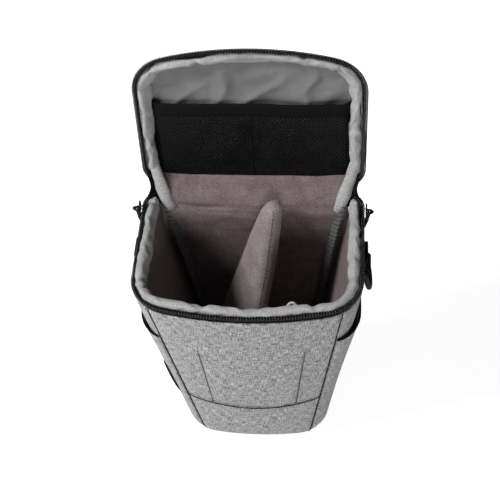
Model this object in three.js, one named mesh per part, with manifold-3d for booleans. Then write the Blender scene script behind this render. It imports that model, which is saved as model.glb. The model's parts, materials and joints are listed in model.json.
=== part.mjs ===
// Top-loading camera bag with its lid open, in millimetres, +Z up.
// The front faces -Y, and the origin is the middle of the flat bottom.
import * as THREE from "three";
import { mergeVertices } from "three/addons/utils/BufferGeometryUtils.js";
import Module from "manifold-3d";

const wasm = await Module();
wasm.setup();

// Outside of the body
const MOUTH_WIDTH = 184;
const MOUTH_DEPTH = 130;
const RIM_HEIGHT = 220;
const BASE_WIDTH = 118;
const BASE_DEPTH = 104;
const BASE_ROUND = 14;
const FRONT_BOW = 7;
const BASE_BOW = 2;
const FRONT_CORNER = 34;
const BASE_CORNER = 24;
const BACK_CORNER = 18;
const GAP = 0.3;

// Cloth, padding and the rim
const CLOTH = 1.4;
const PAD_DEPTH = 9;
const BACK_PAD_DEPTH = 12;
const FLOOR_TOP = 14;
const SEAM_BELOW_RIM = 9;
const LIP_HEIGHT = 21;
const LIP_OUTER = 6;
const LIP_INNER = 13;
const LIP_REST = 0.4;
const CORNER_TAPE = 2;
const HINGE_PAD_DEPTH = 5;
const HINGE_PAD_DROP = 3;

// Zip
const TAPE_DEPTH = 1.7;
const TAPE_THICK = 0.8;
const TAPE_HEIGHT = 14;
const CHAIN_OUTER = 0.3;
const CHAIN_INNER = 3.7;
const CHAIN_HEIGHT = 2.6;
const CHAIN_SLIT = 1.6;
const TOOTH_PITCH = 2;
const TOOTH_DEPTH = 0.9;

// Front panel
const FRONT_SEAM_MIDDLE = 69;
const FRONT_SEAM_ENDS = 87;
const POCKET_TOP_WIDTH = 85;
const POCKET_LOW_WIDTH = 73;
const POCKET_BELOW_RIM = 48;
const POCKET_RAISE = 1.5;

// Side slip pockets
const SLIP_FRONT_DROP = 46;
const SLIP_BACK_DROP = 44;
const SLIP_GAPE = 1.4;
const SLIP_CLOTH = 1.2;
const BINDING_WIDTH = 5;

// Strap rings on the sides
const RING_Y = -2;
const RING_INNER_WIDTH = 20.6;
const RING_DROP = 21;
const RING_WIRE = 3.2;
const RING_BAR_DROP = 30;
const STRAP_WIDTH = 19;
const STRAP_THICK = 2.2;
const STRAP_EYE = 2.7;
const STRAP_TOP_DROP = 12;

// Tag on the left side
const TAG_WIDTH = 6;
const TAG_LENGTH = 44;
const TAG_TOP = 120;

// Belt loop on the back
const BELT_WIDTH = 52;
const BELT_BOTTOM = 62;
const BELT_TOP = 168;
const BELT_STAND = 8;
const BELT_THICK = 2.4;
const BELT_SEWN = 14;

// Divider
const DIVIDER_THICK = 11;
const DIVIDER_TILT = 18;
const DIVIDER_TURN = 26;
const DIVIDER_TOP_DROP = 6;
const DIVIDER_BOTTOM = 76;
const DIVIDER_TOP_REACH = 8;
const DIVIDER_LOW_REACH = 58;
const DIVIDER_X = -10;
const HOOK_WIDTH = 20;
const HOOK_THICK = 1.5;

// Pull cord inside the front wall
const CORD_X = 36;
const CORD_DROP = 27;
const CORD_WIDTH = 9;
const CORD_THICK = 2.2;
const CORD_REACH = 7;

// Slider
const SLIDER_LENGTH = 12;
const SLIDER_HEIGHT = 9;
const SLIDER_PLATE = 1.3;
const SLIDER_POST = 1;
const SLIDER_CLEAR = 0.4;
const CROWN_SPAN = 6;
const CROWN_BAR = 1.2;
const CROWN_STAND = 2.1;
const PULL_LENGTH = 17;
const PULL_WIDTH = 7;
const PULL_THICK = 1.2;
const SLIDER_FROM_CORNER = 6.2;

// Lid
const LID_HEIGHT = 26;
const LID_ROUND = 8;
const LID_OPEN = 95;
const LID_SLANT = 0.75;
const SLANT_FROM = 3;
const LID_CEILING = 12;
const LINING_THICK = 0.8;
const MESH_INSET = 5.2;
const MESH_NEAR = 1.2;
const MESH_FAR = 76;
const MESH_THICK = 0.9;
const MESH_LIFT_NEAR = 2.4;
const MESH_LIFT_FAR = 8;
const MESH_BINDING = 11;
const HANDLE_SPAN = 84;
const HANDLE_WIDTH = 24;
const HANDLE_RISE = 15;
const HANDLE_THICK = 2.6;
const HANDLE_SEWN = 16;

// Values that follow from the sizes above
const BACK_Y = BASE_DEPTH / 2;
const DEGREE = Math.PI / 180;
const SEAM_Z = RIM_HEIGHT - SEAM_BELOW_RIM;
const WALL_MIDDLE = (FRONT_SEAM_ENDS + SEAM_Z) / 2;
const LIP_LOW = RIM_HEIGHT - LIP_REST - LIP_HEIGHT;
const CHAIN_TOP = RIM_HEIGHT - CHAIN_SLIT / 2;
const CHAIN_LOW = CHAIN_TOP - CHAIN_HEIGHT;
const HINGE = new THREE.Vector3(0, BACK_Y, RIM_HEIGHT);
const HINGE_HALF = MOUTH_WIDTH / 2 - BACK_CORNER - 3;
const LINING_LOW = LIP_HEIGHT + LIP_REST - 2 * GAP;

// Places round the outline, from 0 in the middle of the front to 1 in the middle of the back
const FRONT_END = 0.24;
const CORNER_END = 0.42;
const SIDE_END = 0.7;
const BACK_START = 0.86;
const SIDE_SEAM = (FRONT_END + CORNER_END) / 2;
const BACK_SEAM = (SIDE_END + BACK_START) / 2;
const SIDES = [
  ["left", -1],
  ["right", 1],
];

const cloth = (color, roughness = 0.95) =>
  new THREE.MeshStandardMaterial({ color, roughness, metalness: 0 });
const SHELL = cloth(0x9b9b9c);
const VELOUR = cloth(0x7a6d6f, 1);
const LIP_VELOUR = cloth(0xb9b8b8, 1);
const BLACK_WEB = cloth(0x141415, 0.8);
const MESH_CLOTH = cloth(0x181717, 0.9);
const NYLON = cloth(0x767779, 0.7);
const CORD = cloth(0xc9c6c2, 0.9);
const ZIP_NYLON = cloth(0x101011, 0.5);
const METAL = new THREE.MeshStandardMaterial({ color: 0x2b2b2d, roughness: 0.35, metalness: 0.9 });

const bag = new THREE.Group();
bag.name = "top_loading_camera_bag";
const lid = new THREE.Group();
lid.position.copy(HINGE);
lid.rotation.x = -LID_OPEN * DEGREE;
bag.add(lid);

const mix = (a, b, t) => a + (b - a) * t;

function addMesh(parent, name, geometry, material) {
  const mesh = new THREE.Mesh(geometry, material);
  mesh.name = name;
  parent.add(mesh);
  return mesh;
}

// Lid pieces are shaped as if closed on the body, then carried to the hinge.
function addLidMesh(name, geometry, material) {
  geometry.translate(-HINGE.x, -HINGE.y, -HINGE.z);
  return addMesh(lid, name, geometry, material);
}

// The outline of the bag at a height: it tapers from the mouth to the base, and the back stays upright.
// The front is flatter and its corners are tighter towards the base.
function section(z) {
  const t = Math.min(z / RIM_HEIGHT, 1);
  const half = mix(BASE_WIDTH, MOUTH_WIDTH, t) / 2;
  const front = mix(-BASE_DEPTH / 2, BACK_Y - MOUTH_DEPTH, t);
  const corner = mix(BASE_CORNER, FRONT_CORNER, t);
  const flat = half - corner;
  const bow = 2 * Math.atan2(mix(BASE_BOW, FRONT_BOW, t), flat);
  return { half, front, corner, flat, bow };
}

// How far the front of the lid slopes back from the zip at a height above the rim.
function slant(place, height) {
  const share = (SIDE_END - Math.abs(place)) / (SIDE_END - FRONT_END);
  return LID_SLANT * Math.max(height - SLANT_FROM, 0) * THREE.MathUtils.smoothstep(share, 0, 1);
}

// A point of the outline at height z, set in by a depth. Negative places are on the left.
// The front is one shallow arc that runs into the corner arcs without a kink.
function around(place, inset, z) {
  const depth = inset + slant(place, z - RIM_HEIGHT);
  const { half, front, corner, flat, bow } = section(z);
  const a = Math.abs(place);
  const cornerRadius = corner - depth;
  const backRadius = Math.max(BACK_CORNER - depth, 0.5);
  const arcCentre = flat / Math.sin(bow);
  let x;
  let y;
  if (a <= FRONT_END) {
    const turn = (bow * a) / FRONT_END;
    x = (arcCentre + cornerRadius) * Math.sin(turn);
    y = front + corner;
    y += arcCentre * Math.cos(bow) - (arcCentre + cornerRadius) * Math.cos(turn);
  } else if (a <= CORNER_END) {
    const turn = mix(bow, Math.PI / 2, (a - FRONT_END) / (CORNER_END - FRONT_END));
    x = flat + cornerRadius * Math.sin(turn);
    y = front + corner - cornerRadius * Math.cos(turn);
  } else if (a <= SIDE_END) {
    x = half - depth;
    y = mix(front + corner, BACK_Y - BACK_CORNER, (a - CORNER_END) / (SIDE_END - CORNER_END));
  } else if (a <= BACK_START) {
    const turn = (((a - SIDE_END) / (BACK_START - SIDE_END)) * Math.PI) / 2;
    x = half - depth - backRadius * (1 - Math.cos(turn));
    y = BACK_Y - depth - backRadius * (1 - Math.sin(turn));
  } else {
    x = ((half - depth - backRadius) * (1 - a)) / (1 - BACK_START);
    y = BACK_Y - depth;
  }
  return new THREE.Vector3(place < 0 ? -x : x, y, z);
}

// The place on the front at a distance from the middle line.
function frontPlace(x, z) {
  const { flat, corner, bow } = section(z);
  return (FRONT_END * Math.asin(x / (flat / Math.sin(bow) + corner))) / bow;
}

// A point of the body's skin: below BASE_ROUND the skin rolls under to the flat bottom.
function onSkin(place, height, depth) {
  if (height >= BASE_ROUND) return around(place, depth, height);
  const turn = ((height / BASE_ROUND) * Math.PI) / 2;
  const radius = BASE_ROUND - depth;
  return around(place, BASE_ROUND - radius * Math.sin(turn), BASE_ROUND - radius * Math.cos(turn));
}

// A point of the lid's skin: the last LID_ROUND of its height rolls over to the flat top.
function onLid(place, height, depth) {
  const start = LID_HEIGHT - LID_ROUND;
  if (height <= start) return around(place, depth, RIM_HEIGHT + height);
  const turn = (((height - start) / LID_ROUND) * Math.PI) / 2;
  const radius = LID_ROUND - depth;
  const z = RIM_HEIGHT + start + radius * Math.sin(turn);
  return around(place, LID_ROUND - radius * Math.cos(turn), z);
}

// All the places where the outline is given a corner, so that every layer has the same facets.
function stations(from, to) {
  const steps = [
    [0, FRONT_END, 4],
    [FRONT_END, CORNER_END, 9],
    [CORNER_END, SIDE_END, 4],
    [SIDE_END, BACK_START, 4],
    [BACK_START, 1, 1],
  ];
  const half = [0];
  for (const [start, end, count] of steps) {
    for (let i = 1; i <= count; i++) half.push(mix(start, end, i / count));
  }
  const all = [...half.slice(1).reverse().map((p) => -p), ...half];
  const inside = all.filter((p) => p > from + 1e-4 && p < to - 1e-4);
  return [from, ...inside, to];
}

// The place a given number of millimetres further round the rim.
function along(place, distance) {
  const step = 1e-4;
  const near = around(place - step, 0, RIM_HEIGHT);
  const far = around(place + step, 0, RIM_HEIGHT);
  return place + (distance * 2 * step) / near.distanceTo(far);
}

// A closed body from points and triangles, turned to face out.
function closedBody(points, triangles) {
  let volume = 0;
  const cross = new THREE.Vector3();
  for (const [a, b, c] of triangles) {
    volume += points[a].dot(cross.crossVectors(points[b], points[c]));
  }
  const order = volume < 0 ? triangles.map(([a, b, c]) => [a, c, b]) : triangles;
  const geometry = new THREE.BufferGeometry().setFromPoints(points);
  geometry.setIndex(order.flat());
  return geometry;
}

// A sheet between two grids of points, its outer and its inner face.
function sheet(outer, inner) {
  const rows = outer.length;
  const columns = outer[0].length;
  const count = rows * columns;
  const points = [...outer.flat(), ...inner.flat()];
  const triangles = [];
  const quad = (a, b, c, d) => triangles.push([a, b, c], [a, c, d]);
  const at = (j, i) => j * columns + i;
  for (let j = 0; j < rows - 1; j++) {
    for (let i = 0; i < columns - 1; i++) {
      const corners = [at(j, i), at(j, i + 1), at(j + 1, i + 1), at(j + 1, i)];
      quad(...corners);
      quad(...corners.reverse().map((k) => k + count));
    }
  }
  const edge = (a, b) => quad(b, a, a + count, b + count);
  for (let i = 0; i < columns - 1; i++) {
    edge(at(0, i), at(0, i + 1));
    edge(at(rows - 1, i + 1), at(rows - 1, i));
  }
  for (let j = 0; j < rows - 1; j++) {
    edge(at(j + 1, 0), at(j, 0));
    edge(at(j, columns - 1), at(j + 1, columns - 1));
  }
  return closedBody(points, triangles);
}

// A cloth panel on a skin. `heights` gives the rows of heights at a place.
function panel(skin, places, heights, outer, inner) {
  const rows = heights(places[0]).length;
  const grid = (depth) =>
    Array.from({ length: rows }, (_, j) => places.map((p) => skin(p, heights(p)[j], depth)));
  return sheet(grid(outer), grid(inner));
}

// A body through a stack of closed rings with the same number of points.
function loft(rings) {
  const count = rings[0].length;
  const points = rings.flat();
  const triangles = [];
  for (let k = 0; k < rings.length - 1; k++) {
    for (let i = 0; i < count; i++) {
      const a = k * count + i;
      const b = k * count + ((i + 1) % count);
      triangles.push([a, b, b + count], [a, b + count, a + count]);
    }
  }
  return { points, triangles, count };
}

// A band with a given profile of depth and height, swept round the outline.
function sweep(profile, places) {
  const flat = profile.map(([depth, z]) => new THREE.Vector2(depth, z));
  if (THREE.ShapeUtils.isClockWise(flat)) flat.reverse();
  const rings = places.map((p) => flat.map((v) => around(p, v.x, v.y)));
  const { points, triangles, count } = loft(rings);
  const last = points.length - count;
  for (const [a, b, c] of THREE.ShapeUtils.triangulateShape(flat, [])) {
    triangles.push([c, b, a], [a + last, b + last, c + last]);
  }
  return closedBody(points, triangles);
}

// A closed ring of points round the bag, and a slab through a stack of such rings.
const ring = (skin, height, depth) =>
  stations(-1, 1)
    .slice(1)
    .map((p) => skin(p, height, depth));

function slab(rings) {
  const { points, triangles, count } = loft(rings);
  const last = points.length - count;
  const flat = rings[0].map((v) => new THREE.Vector2(v.x, v.y));
  for (const [a, b, c] of THREE.ShapeUtils.triangulateShape(flat, [])) {
    triangles.push([c, b, a], [a + last, b + last, c + last]);
  }
  return closedBody(points, triangles);
}

function box(x0, x1, y0, y1, z0, z1) {
  const geometry = new THREE.BoxGeometry(x1 - x0, y1 - y0, z1 - z0);
  return geometry.translate((x0 + x1) / 2, (y0 + y1) / 2, (z0 + z1) / 2);
}

// Joining and cutting of plain solids.
function toSolid(geometry) {
  const bare = geometry.clone();
  bare.deleteAttribute("normal");
  bare.deleteAttribute("uv");
  const merged = mergeVertices(bare, 1e-4);
  const vertProperties = new Float32Array(merged.getAttribute("position").array);
  const triVerts = new Uint32Array(merged.index.array);
  return new wasm.Manifold(new wasm.Mesh({ numProp: 3, vertProperties, triVerts }));
}

function toGeometry(solid) {
  const mesh = solid.getMesh();
  const geometry = new THREE.BufferGeometry();
  geometry.setAttribute("position", new THREE.BufferAttribute(mesh.vertProperties, 3));
  geometry.setIndex(new THREE.BufferAttribute(mesh.triVerts, 1));
  return geometry;
}

const join = (...geometries) => toGeometry(geometries.map(toSolid).reduce((a, b) => a.add(b)));
const cut = (geometry, tool) => toGeometry(toSolid(geometry).subtract(toSolid(tool)));

// A profile of points in the YZ plane, drawn out along X between two places.
function alongX(points, x0, x1) {
  const shape = new THREE.Shape(points.map(([y, z]) => new THREE.Vector2(y, z)));
  const geometry = new THREE.ExtrudeGeometry(shape, { depth: x1 - x0, bevelEnabled: false });
  const axes = new THREE.Matrix4().makeBasis(
    new THREE.Vector3(0, 1, 0),
    new THREE.Vector3(0, 0, 1),
    new THREE.Vector3(1, 0, 0),
  );
  return geometry.applyMatrix4(axes).translate(x0, 0, 0);
}

// Skin of the body

const rollRows = [0, BASE_ROUND / 3, (2 * BASE_ROUND) / 3, BASE_ROUND];

// The seam between the front's two panels hangs in a shallow curve.
function lowerSeam(place) {
  const out = Math.min(Math.abs(place) / SIDE_SEAM, 1);
  return mix(FRONT_SEAM_MIDDLE, FRONT_SEAM_ENDS, out * out);
}

function addSkin() {
  const bottomRing = (z) => ring(around, BASE_ROUND + GAP, z);
  addMesh(bag, "bottom_panel", slab([bottomRing(0), bottomRing(CLOTH)]), SHELL);

  const frontPlaces = stations(along(-SIDE_SEAM, GAP / 2), along(SIDE_SEAM, -GAP / 2));
  const upperRows = (p) => [lowerSeam(p) + GAP, WALL_MIDDLE, SEAM_Z];
  const lowerRows = (p) => [...rollRows, lowerSeam(p)];
  addMesh(bag, "front_panel", panel(onSkin, frontPlaces, upperRows, 0, CLOTH), SHELL);
  addMesh(bag, "front_lower_panel", panel(onSkin, frontPlaces, lowerRows, 0, CLOTH), SHELL);
  addMesh(bag, "front_pocket_panel", frontPocket(), SHELL);

  const sideRows = () => [...rollRows, FRONT_SEAM_ENDS, WALL_MIDDLE, SEAM_Z];
  for (const [side, sign] of SIDES) {
    const ends = [along(SIDE_SEAM, GAP / 2), along(BACK_SEAM, -GAP / 2)].map((p) => sign * p);
    const places = stations(Math.min(...ends), Math.max(...ends));
    addMesh(bag, side + "_side_panel", panel(onSkin, places, sideRows, 0, CLOTH), SHELL);
    addSlipPocket(side, sign);
  }

  const backEnd = along(BACK_SEAM, GAP / 2);
  const backPlaces = [...stations(backEnd, 1), ...stations(-1, -backEnd).slice(1)];
  addMesh(bag, "back_panel", panel(onSkin, backPlaces, sideRows, 0, CLOTH), SHELL);
}

// The raised middle of the front, between its two pleats.
function frontPocket() {
  const top = RIM_HEIGHT - POCKET_BELOW_RIM;
  const rows = 4;
  const columns = 8;
  const half = (rise) => mix(POCKET_LOW_WIDTH, POCKET_TOP_WIDTH, rise) / 2;
  const point = (across, rise, depth) => {
    const low = lowerSeam(frontPlace(across * half(0), FRONT_SEAM_MIDDLE)) + 2 * GAP;
    const z = mix(low, top, rise);
    return around(frontPlace(across * half(rise), z), depth, z);
  };
  const grid = (depth) =>
    Array.from({ length: rows + 1 }, (_, j) =>
      Array.from({ length: columns + 1 }, (_, i) => point((2 * i) / columns - 1, j / rows, depth)),
    );
  const inner = -2 * GAP;
  return sheet(grid(inner - POCKET_RAISE), grid(inner));
}

// A flat slip pocket on a side, open along its bound upper edge.
function addSlipPocket(side, sign) {
  const from = along(SIDE_SEAM, 1);
  const to = along(SIDE_END, -1);
  const ends = [sign * from, sign * to];
  const places = stations(Math.min(...ends), Math.max(...ends));
  const part = (p) => (Math.abs(p) - from) / (to - from);
  const mouth = (p) => RIM_HEIGHT - mix(SLIP_FRONT_DROP, SLIP_BACK_DROP, part(p));
  const low = BASE_ROUND + 2;
  const gape = (p, z) => {
    const rise = Math.max((z - low) / (mouth(p) - low), 0);
    return SLIP_GAPE * Math.sin(Math.PI * part(p)) * Math.min(rise, 1);
  };
  const rows = 4;
  const grid = (levels, depth) =>
    levels.map((level) => places.map((p) => around(p, -depth - gape(p, level(p)), level(p))));

  const hem = (p) => mouth(p) - BINDING_WIDTH - GAP;
  const levels = Array.from({ length: rows + 1 }, (_, j) => (p) => mix(low, hem(p), j / rows));
  const pocket = sheet(grid(levels, GAP + SLIP_CLOTH), grid(levels, GAP));
  addMesh(bag, side + "_pocket_panel", pocket, SHELL);

  const edge = [(p) => mouth(p) - BINDING_WIDTH, mouth];
  const binding = sheet(grid(edge, GAP + SLIP_CLOTH + 0.4), grid(edge, GAP));
  addMesh(bag, side + "_pocket_binding", binding, BLACK_WEB);
}

// Padding and lining inside

function addPadding() {
  const floorRing = (z) => {
    const radius = BASE_ROUND - CLOTH - GAP;
    const drop = Math.min((BASE_ROUND - z) / radius, 1);
    return ring(around, BASE_ROUND - radius * Math.sqrt(1 - drop * drop) + GAP, z);
  };
  const low = CLOTH + GAP;
  const floor = slab([low, mix(low, FLOOR_TOP, 0.3), mix(low, FLOOR_TOP, 0.65), FLOOR_TOP].map(floorRing));
  addMesh(bag, "floor_pad", floor, VELOUR);

  const skinSide = CLOTH + GAP;
  const add = (name, places, depth) => {
    const rows = () => [FLOOR_TOP + GAP, FRONT_SEAM_ENDS, WALL_MIDDLE, LIP_LOW - GAP];
    addMesh(bag, name, panel(around3, places, rows, skinSide, depth), VELOUR);
  };
  add("front_wall_pad", stations(along(-SIDE_SEAM, GAP), along(SIDE_SEAM, -GAP)), PAD_DEPTH);
  for (const [side, sign] of SIDES) {
    const ends = [along(SIDE_SEAM, GAP), along(SIDE_END, -GAP)].map((p) => sign * p);
    add(side + "_wall_pad", stations(Math.min(...ends), Math.max(...ends)), PAD_DEPTH);
  }
  const cornerEnd = along(SIDE_END, GAP);
  const backPlaces = [...stations(cornerEnd, 1), ...stations(-1, -cornerEnd).slice(1)];
  add("back_wall_pad", backPlaces, BACK_PAD_DEPTH);
  const hingePad = box(
    -HINGE_HALF,
    HINGE_HALF,
    BACK_Y - HINGE_PAD_DEPTH,
    BACK_Y - skinSide,
    LIP_LOW,
    RIM_HEIGHT - HINGE_PAD_DROP,
  );
  addMesh(bag, "hinge_pad", hingePad, VELOUR);

  // Bound seams in the two back corners of the lining
  for (const [side, sign] of SIDES) {
    const places = [0.35, 0.5, 0.65].map((t) => sign * mix(SIDE_END, BACK_START, t)).sort((a, b) => a - b);
    const rows = () => [FLOOR_TOP + 2 * GAP, LIP_LOW - 2];
    const strip = panel(around3, places, rows, BACK_PAD_DEPTH + GAP, BACK_PAD_DEPTH + GAP + CORNER_TAPE);
    addMesh(bag, side + "_corner_binding", strip, NYLON);
  }
}

const around3 = (place, height, depth) => around(place, depth, height);

// Padded lips, zip tapes and zip chains. `mirror` turns a height below the rim into one above it.

const below = (z) => z;
const above = (z) => 2 * RIM_HEIGHT - z;

// The lip stands clear of the zip near the rim, and is full width below the zip tape.
function lip(mirror, foot) {
  const top = RIM_HEIGHT - LIP_REST;
  const shelf = RIM_HEIGHT - TAPE_HEIGHT - 2;
  const round = (LIP_INNER - LIP_OUTER) / 3;
  const profile = [
    [CLOTH + GAP, foot],
    [CLOTH + GAP, shelf],
    [LIP_OUTER, shelf],
    [LIP_OUTER, top - round],
    [LIP_OUTER + round, top],
    [LIP_INNER - round, top],
    [LIP_INNER, top - round],
    [LIP_INNER, RIM_HEIGHT - LID_CEILING],
    [LIP_INNER, foot],
  ];
  const end = along(BACK_START, -1);
  return sweep(profile.map(([d, z]) => [d, mirror(z)]), stations(-end, end));
}

function tape(mirror) {
  const top = CHAIN_LOW - GAP;
  const foot = RIM_HEIGHT - TAPE_HEIGHT;
  const profile = [
    [TAPE_DEPTH, foot],
    [TAPE_DEPTH, SEAM_Z],
    [TAPE_DEPTH, top],
    [TAPE_DEPTH + TAPE_THICK, top],
    [TAPE_DEPTH + TAPE_THICK, SEAM_Z],
    [TAPE_DEPTH + TAPE_THICK, foot],
  ];
  return sweep(profile.map(([d, z]) => [d, mirror(z)]), stations(-BACK_START, BACK_START));
}

// One half of the zip: a strip round the rim with a tooth at every pitch.
function chain(mirror) {
  const places = stations(-BACK_START, BACK_START);
  const line = [];
  let length = 0;
  for (let i = 1; i < places.length; i++) {
    const start = around(places[i - 1], 0, RIM_HEIGHT);
    const span = start.distanceTo(around(places[i], 0, RIM_HEIGHT));
    line.push({ start: length, span, from: places[i - 1], to: places[i] });
    length += span;
  }
  const placeAt = (distance) => {
    const part = line.find((l) => distance <= l.start + l.span) ?? line[line.length - 1];
    return mix(part.from, part.to, (distance - part.start) / part.span);
  };
  const teeth = Math.round(length / TOOTH_PITCH);
  const outline = [];
  for (let i = 0; i <= 2 * teeth; i++) {
    const depth = i % 2 ? CHAIN_OUTER : CHAIN_OUTER + TOOTH_DEPTH;
    outline.push(around(placeAt((i * length) / (2 * teeth)), depth, RIM_HEIGHT));
  }
  for (const p of [...places].reverse()) outline.push(around(p, CHAIN_INNER, RIM_HEIGHT));
  const shape = new THREE.Shape(outline.map((v) => new THREE.Vector2(v.x, v.y)));
  const strip = new THREE.ExtrudeGeometry(shape, { depth: CHAIN_HEIGHT, bevelEnabled: false });
  return strip.translate(0, 0, Math.min(mirror(CHAIN_LOW), mirror(CHAIN_TOP)));
}

function addRim() {
  addMesh(bag, "rim_lip", lip(below, LIP_LOW), LIP_VELOUR);
  addMesh(bag, "body_zip_tape", tape(below), BLACK_WEB);
  addMesh(bag, "body_zip_chain", chain(below), ZIP_NYLON);
  for (const [side, sign] of SIDES) {
    const ends = [mix(SIDE_END, BACK_START, 0.75), mix(SIDE_END, BACK_START, 1)].map((p) => sign * p);
    const places = stations(Math.min(...ends), Math.max(...ends));
    const rows = () => [SEAM_Z - 8, CHAIN_LOW - 2 * GAP];
    const tab = panel(around3, places, rows, -GAP - CLOTH, -GAP);
    addMesh(bag, side + "_zip_end_tab", tab, BLACK_WEB);
  }
}

// Slider and pull, shaped on the right-hand side of the mouth with the zip running along Y.

const SIDE_X = MOUTH_WIDTH / 2;
const SLIDER_Y = BACK_Y - BACK_CORNER - SLIDER_FROM_CORNER;
const PLATE_OUT = SIDE_X - CHAIN_OUTER + SLIDER_CLEAR;
const PLATE_IN = SIDE_X - CHAIN_INNER - SLIDER_CLEAR;
const CROWN_X = PLATE_OUT + SLIDER_PLATE + CROWN_STAND + CROWN_BAR / 2;

// A slider plate is a shield that is wider at the end where the two chains part.
function shield(x0, x1) {
  const l = SLIDER_LENGTH / 2;
  const h = SLIDER_HEIGHT / 2;
  const points = [
    [-l, -0.55 * h],
    [-0.2 * l, -0.7 * h],
    [0.5 * l, -h],
    [l, -0.85 * h],
    [l, 0.85 * h],
    [0.5 * l, h],
    [-0.2 * l, 0.7 * h],
    [-l, 0.55 * h],
  ];
  return alongX(points.map(([y, z]) => [y + SLIDER_Y, z + RIM_HEIGHT]), x0, x1);
}

function sliderBody() {
  const y = SLIDER_Y;
  const z = RIM_HEIGHT;
  const face = PLATE_OUT + SLIDER_PLATE;
  const barOut = CROWN_X + CROWN_BAR / 2;
  const half = CROWN_BAR / 2;
  const foot = CROWN_SPAN / 2;
  return join(
    shield(PLATE_OUT, face),
    shield(PLATE_IN - SLIDER_PLATE, PLATE_IN),
    box(PLATE_IN - 0.1, PLATE_OUT + 0.1, y + 1, y + 5, z - SLIDER_POST / 2, z + SLIDER_POST / 2),
    box(face - 0.1, barOut, y - foot, y - foot + CROWN_BAR, z - half, z + half),
    box(face - 0.1, barOut, y + foot - CROWN_BAR, y + foot, z - half, z + half),
    box(CROWN_X - half, barOut, y - foot, y + foot, z - half, z + half),
  );
}

// The pull has a sleeve round the crown's bar and a tab that hangs down outside the zip.
function sliderPull() {
  const sleeveIn = CROWN_BAR * 0.75 + GAP;
  const sleeveOut = CROWN_BAR / 2 + CROWN_STAND - GAP;
  const width = CROWN_SPAN - 2 * CROWN_BAR - 2 * GAP;
  const sleeve = new THREE.CylinderGeometry(sleeveOut, sleeveOut, width, 16);
  const bore = new THREE.CylinderGeometry(sleeveIn, sleeveIn, width + 2, 16);
  for (const part of [sleeve, bore]) part.translate(CROWN_X, SLIDER_Y, RIM_HEIGHT);
  const neck = width / 2;
  const half = PULL_WIDTH / 2;
  const top = (sleeveIn + sleeveOut) / 2;
  const shoulder = top + PULL_WIDTH - 1;
  const round = 2;
  const side = [
    [neck, top],
    [neck, top + round],
    [half, shoulder],
    [half, PULL_LENGTH - round],
    [half - round, PULL_LENGTH],
  ];
  const outline = [...side, ...side.map(([y, drop]) => [-y, drop]).reverse()];
  const tab = alongX(
    outline.map(([y, drop]) => [SLIDER_Y + y, RIM_HEIGHT - drop]),
    CROWN_X - PULL_THICK / 2,
    CROWN_X + PULL_THICK / 2,
  );
  return cut(join(sleeve, tab), bore);
}

function addSliders() {
  for (const [side, sign] of SIDES) {
    const mirror = new THREE.Group();
    mirror.scale.x = sign;
    bag.add(mirror);
    addMesh(mirror, side + "_slider", sliderBody(), METAL);
    addMesh(mirror, side + "_slider_pull", sliderPull(), METAL);
  }
}

// Strap rings and their webbing on the sides

const TAPER = Math.atan2((MOUTH_WIDTH - BASE_WIDTH) / 2, RIM_HEIGHT);
const STRAP_Z = RIM_HEIGHT - STRAP_TOP_DROP;
const STRAP_X = section(STRAP_Z).half;
const EYE_RADIUS = STRAP_EYE + STRAP_THICK;
const EYE_DROP = RING_BAR_DROP - STRAP_TOP_DROP;

// Webbing that lies on the panel and loops round the ring's bar; its own upright follows the panel's slope.
function strapTab() {
  const back = box(GAP, GAP + 2 * STRAP_THICK, -STRAP_WIDTH / 2, STRAP_WIDTH / 2, -EYE_DROP, 0);
  const eye = new THREE.CylinderGeometry(EYE_RADIUS, EYE_RADIUS, STRAP_WIDTH, 24);
  const bore = new THREE.CylinderGeometry(STRAP_EYE, STRAP_EYE, STRAP_WIDTH + 2, 24);
  for (const part of [eye, bore]) part.translate(GAP + EYE_RADIUS, 0, -EYE_DROP);
  return cut(join(back, eye), bore);
}

// A D of round wire, its straight bar along Y and its bow hanging below.
function strapRing() {
  const r = RING_WIRE / 2;
  const half = RING_INNER_WIDTH / 2 + r;
  const bend = RING_WIRE;
  const arc = (y, z, radius, from, to, steps) =>
    Array.from({ length: steps + 1 }, (_, i) => {
      const turn = mix(from, to, i / steps) * DEGREE;
      return { y: y + radius * Math.cos(turn), z: z + radius * Math.sin(turn), turn };
    });
  const line = [
    ...arc(half - bend, -bend, bend, 90, 0, 3),
    ...arc(0, half - RING_DROP - r, half, 0, -180, 14),
    ...arc(bend - half, -bend, bend, 180, 90, 3),
  ];
  const sides = 10;
  const rings = line.map(({ y, z, turn }) =>
    Array.from({ length: sides }, (_, k) => {
      const a = (2 * Math.PI * k) / sides;
      const out = r * Math.cos(a);
      return new THREE.Vector3(r * Math.sin(a), y + out * Math.cos(turn), z + out * Math.sin(turn));
    }),
  );
  const { points, triangles } = loft([...rings, rings[0]]);
  return closedBody(points, triangles);
}

function addRings() {
  for (const [side, sign] of SIDES) {
    const mirror = new THREE.Group();
    mirror.scale.x = sign;
    bag.add(mirror);
    const slope = new THREE.Group();
    slope.position.set(STRAP_X, RING_Y, STRAP_Z);
    slope.rotation.y = TAPER;
    mirror.add(slope);
    addMesh(slope, side + "_ring_tab", strapTab(), BLACK_WEB);
    const bar = new THREE.Vector3(GAP + EYE_RADIUS, 0, -EYE_DROP);
    bar.applyAxisAngle(new THREE.Vector3(0, 1, 0), TAPER).add(slope.position);
    const hanger = new THREE.Group();
    hanger.position.copy(bar);
    mirror.add(hanger);
    addMesh(hanger, side + "_d_ring", strapRing(), METAL);
  }
}

// Small fittings

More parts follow.
